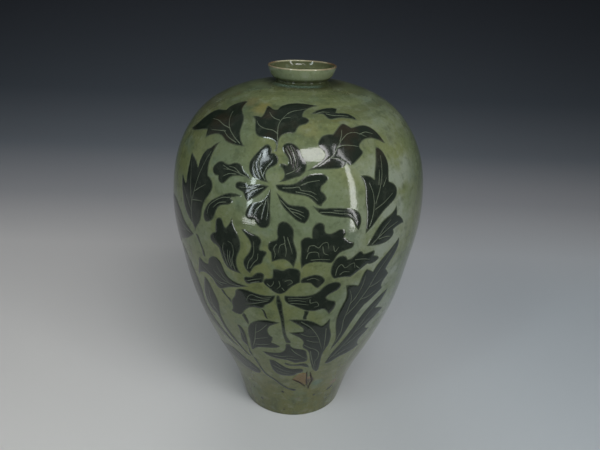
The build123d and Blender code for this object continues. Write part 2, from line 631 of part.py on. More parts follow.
# Half section of the whole vase
with BuildSketch() as wall_section:
    with BuildLine():
        Polyline(
            (0, floor_thickness),
            (0, foot_recess_depth),
            (foot_rim_inner, foot_recess_depth),
            (foot_rim_inner, 0),
            (foot_radius, 0),
        )
        add(wall_line.trim(0, root_share))
        Spline(*hollow_spots, tangents=(wall_line.tangent_at(root_share), under_way))
        ThreePointArc(
            (dish_under_radius, under_height),
            (dish_side_radius, side_height),
            (mouth_radius, mouth_height),
        )
        Line((mouth_radius, mouth_height), (mouth_radius - lip_thickness, mouth_height))
        ThreePointArc(
            (mouth_radius - lip_thickness, mouth_height),
            (dish_side_radius - lip_thickness, side_height),
            (dish_floor_radius, dish_floor_height),
        )
        Polyline(
            (dish_floor_radius, dish_floor_height),
            (throat_radius, dish_floor_height),
            (throat_radius, inner_spots[-1][1]),
            inner_spots[-1],
        )
        Spline(*inner_spots)
        Line(inner_spots[0], (0, floor_thickness))
    make_face()


def region_above(share, slope, offset):
    """The section plane above a sloping seam that crosses the wall, raised square to it by the offset."""
    spot = wall_line.position_at(share)
    axis_height = spot.Y - spot.X * slope + offset * hypot(1, slope)
    far_radius = belly_radius + body_wall
    far_height = axis_height + far_radius * slope
    with BuildSketch() as region:
        with BuildLine():
            Polyline(
                (0, axis_height),
                (far_radius, far_height),
                (far_radius, far_height + mouth_height),
                (0, far_height + mouth_height),
                close=True,
            )
        make_face()
    return region.sketch


# Belly seam, lower on the inside, and neck seam, a plug narrower on the inside
belly_seam_slope = belly_seam_drop / body_wall
neck_seam_slope = body_wall / neck_seam_taper
over_belly_seam = region_above(belly_seam_share, belly_seam_slope, 0)
over_belly_luting = region_above(belly_seam_share, belly_seam_slope, luting_thickness)
over_neck_seam = region_above(neck_seam_share, neck_seam_slope, 0)
over_neck_luting = region_above(neck_seam_share, neck_seam_slope, luting_thickness)

# Lower body, thrown as a tall bowl, with the foot ring turned out of its base
with BuildPart() as lower_body:
    with BuildSketch(Plane.XZ):
        add(wall_section.sketch)
        add(over_belly_seam, mode=Mode.SUBTRACT)
    revolve(axis=Axis.Z)
    rings = lower_body.edges().filter_by(GeomType.CIRCLE).group_by(Axis.Z)
    fillet(rings[0], foot_edge_round)
    rings = lower_body.edges().filter_by(GeomType.CIRCLE)
    recess_corner = rings.sort_by_distance((foot_rim_inner, 0, foot_recess_depth))[0]
    fillet(recess_corner, recess_edge_round)
lower_body.part.label = "lower_body"
export_step(lower_body.part, "parts/lower_body.step")

# Clay slip that bonds the belly seam
with BuildPart() as belly_luting:
    with BuildSketch(Plane.XZ):
        add(wall_section.sketch)
        add(over_belly_seam, mode=Mode.INTERSECT)
        add(over_belly_luting, mode=Mode.SUBTRACT)
    revolve(axis=Axis.Z)
belly_luting.part.label = "belly_luting"
export_step(belly_luting.part, "parts/belly_luting.step")

# Upper body, thrown as a dome and luted on at the belly
with BuildPart() as upper_body:
    with BuildSketch(Plane.XZ):
        add(wall_section.sketch)
        add(over_belly_luting, mode=Mode.INTERSECT)
        add(over_neck_seam, mode=Mode.SUBTRACT)
    revolve(axis=Axis.Z)
upper_body.part.label = "upper_body"
export_step(upper_body.part, "parts/upper_body.step")

# Clay slip that bonds the neck seam
with BuildPart() as neck_luting:
    with BuildSketch(Plane.XZ):
        add(wall_section.sketch)
        add(over_neck_seam, mode=Mode.INTERSECT)
        add(over_neck_luting, mode=Mode.SUBTRACT)
    revolve(axis=Axis.Z)
neck_luting.part.label = "neck_luting"
export_step(neck_luting.part, "parts/neck_luting.step")

# Neck and dish-shaped mouth, thrown in one piece
with BuildPart() as neck_and_mouth:
    with BuildSketch(Plane.XZ):
        add(wall_section.sketch)
        add(over_neck_luting, mode=Mode.INTERSECT)
    revolve(axis=Axis.Z)
    rings = neck_and_mouth.edges().filter_by(GeomType.CIRCLE)
    under_edge = rings.sort_by_distance((dish_under_radius, 0, under_height))[0]
    floor_corner = rings.sort_by_distance((dish_floor_radius, 0, dish_floor_height))[0]
    throat_edge = rings.sort_by_distance((throat_radius, 0, dish_floor_height))[0]
    fillet([under_edge, floor_corner], dish_round)
    fillet(throat_edge, throat_round)
    lip_edges = neck_and_mouth.edges().filter_by(GeomType.CIRCLE).group_by(Axis.Z)[-1]
    fillet(lip_edges, lip_round)
neck_and_mouth.part.label = "neck_and_mouth"
export_step(neck_and_mouth.part, "parts/neck_and_mouth.step")


def wall_coat(thickness):
    """Thin coat all round the wall, over the stretch that is painted."""
    step_share = (slip_end_share - slip_start_share) / coat_steps
    shares = [slip_start_share + step_share * step for step in range(coat_steps + 1)]
    outer_spots = [beside_wall(share, thickness) for share in shares]
    with BuildPart() as coat:
        with BuildSketch(Plane.XZ):
            with BuildLine():
                add(wall_line.trim(slip_start_share, slip_end_share))
                Line(wall_line.position_at(slip_end_share), outer_spots[-1])
                Spline(*outer_spots)
                Line(outer_spots[0], wall_line.position_at(slip_start_share))
            make_face()
        revolve(axis=Axis.Z)
    return coat.part


# Each leaf, petal and stem is one coat of slip, painted on the front and again on the back
slip_coat = wall_coat(slip_thickness)
strokes = {}
for name, drawn in slip_shares.items():
    runs = drawn["edges"]
    plane = wall_plane(*middle_of([place for run in runs for place in run]))
    with BuildPart() as stroke:
        with BuildSketch(plane):
            with BuildLine():
                for run, next_run in zip(runs, runs[1:] + runs[:1]):
                    Spline(*on_plane(plane, run + next_run[:1]))
            make_face()
        extrude(amount=slip_reach, both=True)
        add(slip_coat, mode=Mode.INTERSECT)
        for met in drawn.get("meets", []):
            add(strokes[met], mode=Mode.SUBTRACT)
    strokes[name] = stroke.part
    with BuildPart() as sprays:
        with PolarLocations(0, spray_count):
            add(stroke.part)
    sprays.part.label = name
    export_step(sprays.part, f"parts/{name}.step")

# Kiln scar, below the middle leaf of the foot
plane = wall_plane(*middle_of(scar_shares))
with BuildPart() as kiln_scar:
    with BuildSketch(plane):
        with BuildLine():
            Spline(*on_plane(plane, scar_shares), periodic=True)
        make_face()
    extrude(amount=slip_reach, both=True)
    add(wall_coat(scar_thickness), mode=Mode.INTERSECT)
kiln_scar.part.label = "kiln_scar"
export_step(kiln_scar.part, "parts/kiln_scar.step")
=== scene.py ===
# A meiping vase: a tall-shouldered celadon flower vessel painted with black iron slip.
# Metres, +Z up. The photographed side faces -Y and the foot stands on z = 0.
from math import cos, pi, radians, sin

import bpy
import numpy as np
from mathutils import Matrix, Vector
from mathutils.geometry import delaunay_2d_cdt


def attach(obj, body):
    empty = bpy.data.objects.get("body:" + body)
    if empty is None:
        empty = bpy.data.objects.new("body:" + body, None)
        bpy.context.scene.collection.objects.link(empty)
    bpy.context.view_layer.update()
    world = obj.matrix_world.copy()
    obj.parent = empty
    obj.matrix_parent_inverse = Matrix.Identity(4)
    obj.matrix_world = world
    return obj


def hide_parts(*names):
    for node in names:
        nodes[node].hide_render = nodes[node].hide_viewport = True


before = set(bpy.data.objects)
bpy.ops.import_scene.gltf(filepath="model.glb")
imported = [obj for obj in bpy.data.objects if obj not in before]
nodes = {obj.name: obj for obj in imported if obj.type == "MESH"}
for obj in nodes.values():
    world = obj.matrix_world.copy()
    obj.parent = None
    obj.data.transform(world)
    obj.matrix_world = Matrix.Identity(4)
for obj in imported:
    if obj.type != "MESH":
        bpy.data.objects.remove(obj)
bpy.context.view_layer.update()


# Thrown clay body.
# Real piece: iron-rich stoneware, thrown in sections that are luted together, then dipped in celadon glaze.
# The glaze runs over both seams, so one finish covers all five clay pieces.
glaze_green = (0.118, 0.150, 0.084)
glaze_olive = (0.138, 0.155, 0.058)
glaze_blue = (0.098, 0.142, 0.098)
# A pale ashy tone, also used as a painted sheen down the right side.
glaze_ash_and_sheen = (0.208, 0.240, 0.190)
# A dark glaze tone, used for mottling and also as painted shade.
glaze_dark_and_shade = (0.034, 0.046, 0.021)
glaze_ochre = (0.118, 0.110, 0.026)
# Brown crawl, darkened further as painted shade under the dish.
glaze_crawl_and_shade = (0.030, 0.027, 0.013)
glaze_brown = (0.092, 0.084, 0.050)
glaze_pool = (0.085, 0.130, 0.095)
# The outside of the dish, painted paler as lit.
glaze_cup_lit = (0.165, 0.200, 0.115)
# The inside of the dish, painted darker as in shade.
glaze_dish_shade = (0.060, 0.066, 0.030)
glaze_speck = (0.020, 0.022, 0.011)
lip_buff = (0.330, 0.320, 0.210)
lip_rust = (0.110, 0.065, 0.028)
# Stains as (degrees round from the front, share of the wall from foot to neck, size, strength, colour).
glaze_stains = [
    (-25.7, 0.866, 0.009, 0.75, (0.150, 0.140, 0.050)),
    (-37.0, 0.880, 0.008, 0.50, (0.130, 0.110, 0.045)),
    (4.8, 0.821, 0.010, 0.60, (0.145, 0.150, 0.062)),
    (-61.6, 0.895, 0.005, 0.40, (0.060, 0.052, 0.026)),
    (21.0, 0.138, 0.007, 0.60, (0.080, 0.140, 0.105)),
    (40.5, 0.116, 0.006, 0.70, (0.160, 0.110, 0.070)),
    (12.6, 0.155, 0.007, 0.80, (0.050, 0.034, 0.020)),
    (13.0, 0.170, 0.003, 0.70, (0.190, 0.100, 0.045)),
    (-32.5, 0.047, 0.0021, 0.90, glaze_speck),
    (-8.2, 0.099, 0.0019, 0.90, glaze_speck),
    (22.1, 0.080, 0.0018, 0.90, glaze_speck),
    (37.4, 0.088, 0.0026, 0.90, glaze_speck),
    (40.4, 0.092, 0.0026, 0.90, glaze_speck),
    (-7.7, 0.024, 0.0016, 0.70, glaze_speck),
    (6.9, 0.073, 0.0030, 0.50, (0.075, 0.055, 0.025)),
]
# Heights between which the glaze changes.
foot_dark_heights = (0.018, 0.060)
foot_mottle_heights = (0.03, 0.11)
foot_ochre_heights = (0.03, 0.15)
low_olive_heights = (0.10, 0.26)
# The painted sheen on the right fades in and out between the next two.
sheen_foot_heights = (0.05, 0.12)
sheen_shoulder_heights = (0.265, 0.300)
shoulder_heights = (0.262, 0.312)
crawl_and_shade_heights = (0.309, 0.3135)
pool_heights = (0.3125, 0.3145)
waist_heights = (0.3178, 0.3200)
dish_heights = (0.3190, 0.3215)
lip_heights = (0.3286, 0.3294)
# Places to the right of the middle, or to its left where they are below 0, between which it changes.
# The painted sheen on the right starts and ends between the next two.
sheen_start = (0.02, 0.070)
sheen_end = (0.080, 0.105)
# Painted shade at the right edge and the left shoulder starts between the next two.
right_dark = (0.080, 0.108)
left_dark = (-0.010, -0.075)
left_brown = (-0.045, -0.085)
low_olive_end = (-0.05, 0.02)
# The blue-green pool is painted lit at the front only, between the next two.
lit_front_right_end = (0.010, 0.020)
lit_front_left_end = (-0.016, -0.026)
rust_right = (0.016, 0.027)
rust_left = (-0.016, -0.027)
# Distances from the axis between which it changes.
# The brown crawl and its painted shade round the neck end between the next two.
crawl_and_shade_reach = (0.030, 0.043)
hollow_reach = (0.0290, 0.0335)
pool_reach = (0.0245, 0.0265)
# The outside of the dish is where the distance from the axis, less this share of the height, is past these.
dish_flare_share = 0.40
dish_outside = (-0.1038, -0.1032)
# How far the clouding sways the borders of a change.
shoulder_sway = 0.02
foot_sway = 0.02
collar_sway = 0.014
hollow_sway = 0.004
lip_sway = 0.0008
# Fine lengths of the finish and of the wall's own chart.
glaze_ior = 1.5
glaze_ripple_depth = 0.0012
foot_gap = 0.0009
full_length = 0.3828
wall_spacing = 0.0002
seam_reach = 1e-6
foot_edge_rise = 0.0004


class Shade:
    """A socket of a material's nodes. Sums on it add Math nodes, and node() adds any other node."""

    def __init__(self, tree, socket=None):
        self.tree = tree
        self.socket = socket

    def join(self, value, socket):
        """Give a socket a value, or link another shade to it."""
        if isinstance(value, Shade):
            self.tree.links.new(value.socket, socket)
        else:
            if socket.type == "RGBA" and len(value) == 3:
                value = (*value, 1)
            socket.default_value = value

    def node(self, kind, settings=None, sockets=None, output=0):
        """Add a node, with its settings made first and then its sockets."""
        made = self.tree.nodes.new("ShaderNode" + kind)
        for name, value in (settings or {}).items():
            if name == "stops":
                ramp = made.color_ramp
                while len(ramp.elements) < len(value):
                    ramp.elements.new(1)
                for element, (place, colour) in zip(ramp.elements, value):
                    element.position = place
                    element.color = (*colour, 1)
            else:
                setattr(made, name, value)
        for name, value in (sockets or {}).items():
            self.join(value, made.inputs[name])
        return Shade(self.tree, made.outputs[output])

    def math(self, operation, *values):
        return self.node("Math", {"operation": operation}, dict(enumerate(values)))

    def __add__(self, other):
        return self.math("ADD", self, other)

    def __radd__(self, other):
        return self.math("ADD", other, self)

    def __sub__(self, other):
        return self.math("SUBTRACT", self, other)

    def __rsub__(self, other):
        return self.math("SUBTRACT", other, self)

    def __mul__(self, other):
        return self.math("MULTIPLY", self, other)

    def __rmul__(self, other):
        return self.math("MULTIPLY", other, self)

    def __truediv__(self, other):
        return self.math("DIVIDE", self, other)

    def over(self, start, end):
        """A soft step from 0 at the start value to 1 at the end value."""
        settings = {"interpolation_type": "SMOOTHSTEP"}
        return self.node("MapRange", settings, {"Value": self, "From Min": start, "From Max": end})

    def mix(self, first, second):
        """The first colour where this is 0, the second where it is 1."""
        return self.node("Mix", {"data_type": "RGBA"}, {0: self, 6: first, 7: second}, 2)


def new_finish(name):
    """A material with its shader, and a first Shade to build its nodes from."""
    material = bpy.data.materials.new(name)
    material.use_nodes = True
    shader = material.node_tree.nodes["Principled BSDF"]
    return material, shader, Shade(material.node_tree)


def seam_chain(node):
    """Radius and height of the points where a clay piece's mesh crosses +X, in order round its section."""
    mesh = nodes[node].data
    spots = {}
    place_of = {}
    for vertex in mesh.vertices:
        x, y, z = vertex.co
        if abs(y) < seam_reach and x > 0:
            key = (round(x * 1e6), round(z * 1e6))
            spots[key] = (x, z)
            place_of[vertex.index] = key
    beside = {key: set() for key in spots}
    for edge in mesh.edges:
        a, b = (place_of.get(index) for index in edge.vertices)
        if a is not None and b is not None and a != b:
            beside[a].add(b)
            beside[b].add(a)
    ends = [key for key in beside if len(beside[key]) == 1]
    chain = [ends[0] if ends else max(spots, key=lambda key: key[1])]
    seen = set(chain)
    while True:
        ahead = [key for key in beside[chain[-1]] if key not in seen]
        if not ahead:
            break
        chain.append(ahead[0])
        seen.add(ahead[0])
    return np.array([spots[key] for key in chain])


def outer_wall():
    """Closely spaced lengths, places and outward directions of the glazed wall, from foot to neck."""
    lower = seam_chain("lower_body")
    upper = seam_chain("upper_body")
    if lower[0][1] > lower[-1][1]:
        lower = lower[::-1]
    top = int(np.argmax(lower[:, 1]))
    low = [index for index in range(top) if lower[index][1] < foot_edge_rise]
    lower = lower[max(low) + 1:top + 1]
    corner = int(np.argmin(np.hypot(*(upper - lower[-1]).T)))
    upper = np.roll(upper, -corner, axis=0)
    if upper[1][1] < upper[-1][1]:
        upper = np.roll(upper[::-1], 1, axis=0)
    top = int(np.argmax(upper[:, 1]))
    points = np.vstack([lower, upper[:top + 1]])
    steps = np.hypot(*np.diff(points, axis=0).T)
    length = np.concatenate([[0], np.cumsum(steps)])
    slopes = np.gradient(points, length, axis=0)
    fine = np.arange(0, length[-1], wall_spacing)
    index = np.clip(np.searchsorted(length, fine, side="right") - 1, 0, len(length) - 2)
    gap = (length[index + 1] - length[index])[:, None]
    t = (fine - length[index])[:, None] / gap
    line = (
        (2 * t**3 - 3 * t**2 + 1) * points[index]
        + (t**3 - 2 * t**2 + t) * gap * slopes[index]
        + (3 * t**2 - 2 * t**3) * points[index + 1]
        + (t**3 - t**2) * gap * slopes[index + 1]
    )
    along = np.gradient(line, fine, axis=0)
    along /= np.hypot(*along.T)[:, None]
    return fine, line, np.column_stack([along[:, 1], -along[:, 0]])


wall_length, wall_line, wall_out = outer_wall()


def on_wall(turn, along, lift=0.0):
    """Points on the wall, from turns in radians and lengths up the wall, lifted off it."""
    radius, height = (np.interp(along, wall_length, column) for column in wall_line.T)
    out, up = (np.interp(along, wall_length, column) for column in wall_out.T)
    radius = radius + lift * out
    height = height + lift * up
    return np.column_stack([radius * np.sin(turn), -radius * np.cos(turn), height])


glaze, glaze_shader, shade = new_finish("celadon_glaze")
place = shade.node("TexCoord", output=3)
across = shade.node("SeparateXYZ", sockets={"Vector": place}, output=0)
height = shade.node("SeparateXYZ", sockets={"Vector": place}, output=2)
axis_place = shade.node("Mapping", {}, {"Vector": place, "Scale": (1, 1, 0)})
reach = shade.node("VectorMath", {"operation": "LENGTH"}, {0: axis_place}, 1)
drift = shade.node("TexNoise", {}, {"Vector": place, "Scale": 11.0, "Detail": 3.0, "Roughness": 0.55})
cloud = shade.node("TexNoise", {}, {"Vector": place, "Scale": 42.0, "Detail": 4.0, "Roughness": 0.62})
grain = shade.node("TexNoise", {}, {"Vector": place, "Scale": 420.0, "Detail": 3.0, "Roughness": 0.65})
ripple = shade.node("TexNoise", {}, {"Vector": place, "Scale": 120.0, "Detail": 2.0, "Roughness": 0.5})
rings_place = shade.node("Mapping", {}, {"Vector": place, "Scale": (7, 7, 190)})
rings = shade.node("TexNoise", {}, {"Vector": rings_place, "Scale": 1.0, "Detail": 4.0, "Roughness": 0.6})
runs_place = shade.node("Mapping", {}, {"Vector": place, "Scale": (110, 110, 9)})
runs = shade.node("TexNoise", {}, {"Vector": runs_place, "Scale": 1.0, "Detail": 3.0, "Roughness": 0.55})
# Olive drifts and blue clouds all over, and a painted pale sheen down the right side, where the right lamp
# lights the glaze.
tone = (drift.over(0.38, 0.66) * 0.8).mix(glaze_green, glaze_olive)
tone = (cloud.over(0.52, 0.72) * 0.6).mix(tone, glaze_blue)
right_sheen = across.over(*sheen_start) * (1 - across.over(*sheen_end))
right_sheen = right_sheen * height.over(*sheen_foot_heights) * (1 - height.over(*sheen_shoulder_heights) * 0.6)
tone = (right_sheen * cloud.over(0.35, 0.60) * 0.75).mix(tone, glaze_ash_and_sheen)
# Over the shoulder painted shade darkens the glaze a little, and along the marks of throwing it is darker
# and browner.
shoulder = (height + (cloud - 0.5) * shoulder_sway).over(*shoulder_heights)
tone = (shoulder * (0.12 + rings.over(0.40, 0.66) * 0.45)).mix(tone, glaze_dark_and_shade)
tone = (shoulder * rings.over(0.58, 0.72) * cloud.over(0.40, 0.60) * 0.5).mix(tone, glaze_ochre)
# Painted shade darkens the right edge all the way up, and the left side at the shoulder only.
side_shade = shoulder * across.over(*left_dark) * 0.50 + across.over(*right_dark) * 0.50
tone = side_shade.mix(tone, glaze_dark_and_shade)
# Low down it turns olive at the left and ochre all round.
low_left = (1 - height.over(*low_olive_heights)) * (1 - across.over(*low_olive_end))
tone = (low_left * 0.30).mix(tone, glaze_olive)
tone = ((1 - height.over(*foot_ochre_heights)) * 0.58).mix(tone, glaze_ochre)
tone = (shoulder * across.over(*left_brown) * cloud.over(0.35, 0.60) * 0.6).mix(tone, glaze_brown)
# The foot is mottled, with runs of thick glaze, and painted shade darkens the band just above the floor.
foot_tone = 1 - height.over(*foot_mottle_heights)
tone = (foot_tone * cloud.over(0.52, 0.64) * 0.55).mix(tone, glaze_green)
tone = (foot_tone * cloud.over(0.48, 0.36) * 0.40).mix(tone, glaze_dark_and_shade)
foot_runs_and_shade = 1 - (height + (cloud - 0.5) * foot_sway).over(*foot_dark_heights)
tone = (foot_runs_and_shade * runs.over(0.46, 0.68) * 0.6).mix(tone, glaze_ochre)
tone = (foot_runs_and_shade * (0.30 + runs.over(0.52, 0.30) * 0.35)).mix(tone, glaze_dark_and_shade)
# Round the neck the glaze crawls brown, darkened further as painted shade under the dish.
collar = 1 - (reach + (cloud - 0.5) * collar_sway).over(*crawl_and_shade_reach)
below_dish = 1 - height.over(*waist_heights)
crawl_and_shade = collar * height.over(*crawl_and_shade_heights) * below_dish * drift.over(0.42, 0.60)
tone = (crawl_and_shade * 0.8).mix(tone, glaze_crawl_and_shade)
# In the hollow painted shade darkens the glaze all round, and its blue-green pool is painted at the front
# only, where it is lit.
hollow = 1 - (reach + (cloud - 0.5) * hollow_sway).over(*hollow_reach)
hollow = hollow * height.over(*pool_heights) * below_dish
lit_pool_front = 1 - across.over(*lit_front_right_end) - across.over(*lit_front_left_end)
tone = (hollow * 0.62).mix(tone, glaze_dark_and_shade)
tone = (hollow * lit_pool_front * reach.over(*pool_reach) * 0.85).mix(tone, glaze_pool)
# The dish is painted paler outside, as lit, and darker inside, as painted shade.
outside = (reach - height * dish_flare_share).over(*dish_outside)
cup = height.over(*dish_heights)
tone = (cup * outside * 0.85).mix(tone, glaze_cup_lit)
tone = (cup * (1 - outside) * 0.75).mix(tone, glaze_dish_shade)
# Stains, specks and grain.
for turn, share, size, strength, colour in glaze_stains:
    spot = tuple(float(value) for value in on_wall(radians(turn), share * full_length - foot_gap)[0])
    gap = shade.node("VectorMath", {"operation": "DISTANCE"}, {0: place, 1: spot}, 1)
    ragged = gap + (cloud - 0.5) * (size * 0.9) + (grain - 0.5) * (size * 0.5)
    stain = 1 - ragged.over(size * 0.45, size * 1.15)
    tone = (stain * strength).mix(tone, colour)
tone = (ripple.over(0.54, 0.70) * 0.22).mix(tone, glaze_ash_and_sheen)
tone = (ripple.over(0.46, 0.30) * 0.32).mix(tone, glaze_dark_and_shade)
tone = (grain.over(0.50, 0.72) * 0.28).mix(tone, glaze_dark_and_shade)
tone = (grain.over(0.42, 0.28) * 0.22).mix(tone, glaze_ash_and_sheen)
# The lip is a buff line, rusty at its left and right ends.
rust = (across.over(*rust_right) + across.over(*rust_left)) * 0.7 + cloud.over(0.45, 0.60) * 0.5
lip_tone = rust.mix(lip_buff, lip_rust)
tone = (height + (cloud - 0.5) * lip_sway).over(*lip_heights).mix(tone, lip_tone)
shade.join(tone, glaze_shader.inputs["Base Color"])
shade.join(0.05 + cloud * 0.06, glaze_shader.inputs["Roughness"])
glaze_shader.inputs["IOR"].default_value = glaze_ior
relief = rings * 0.4 + drift * 0.8 + ripple * 0.10 + grain * 0.008
bump = shade.node("Bump", {}, {"Height": relief, "Strength": 0.3, "Distance": glaze_ripple_depth})
shade.join(bump, glaze_shader.inputs["Normal"])
for name in ("lower_body", "belly_luting", "upper_body", "neck_luting", "neck_and_mouth"):
    nodes[name].data.materials.clear()
    nodes[name].data.materials.append(glaze)


# Iron slip strokes.
# Real piece: black iron-rich clay slip, brushed on the leather-hard wall stroke by stroke, its veins
# scratched through with a point before the glaze. Each leaf, petal and stem is one coat, front and back.
slip_black = (0.010, 0.015, 0.010)
slip_worn = (0.031, 0.038, 0.027)
slip_rust = (0.030, 0.020, 0.012)
slip_edge = (0.080, 0.098, 0.058)
vein_pale = (0.135, 0.160, 0.108)
slip_thickness = 0.00022
slip_lift = 0.00003
slip_edge_width = 0.0018
slip_full_reach = 0.0014
slip_slim_share = 0.6
slip_fray = 0.0010
slip_coat_reach = (-0.0002, 0.0013)
slip_mottle_depth = 0.0003
slip_rust_heights = (0.262, 0.285)
vein_half_width = 0.00032
vein_fray = 0.0003
vein_core = 0.00012
vein_soft_reach = 0.00015
vein_taper = 0.55
# The distance to a vein that the points of a stroke without veins are given.
vein_none = 0.01
# How closely the points of a stroke's mesh lie: on its outline, on its veins, beside both, and in between.
outline_spacing = 0.0008
vein_spacing = 0.0007
stroke_insets = (0.00035, 0.0009)
vein_rows = (0, 0.00025, -0.00025, 0.0006, -0.0006)
vein_row_room = 0.00015
inset_room_share = 0.75
stroke_gaps = (0.0025, 0.0022)
point_cell = 0.00014
# The triangulation works in millimetres, keeps what is inside the ring, and joins points this near.
flat_scale = 1000
keep_inside = 1
join_reach = 1e-6
# The least length and squared length that anything is divided by.
least_length = 1e-12
least_square = 1e-18
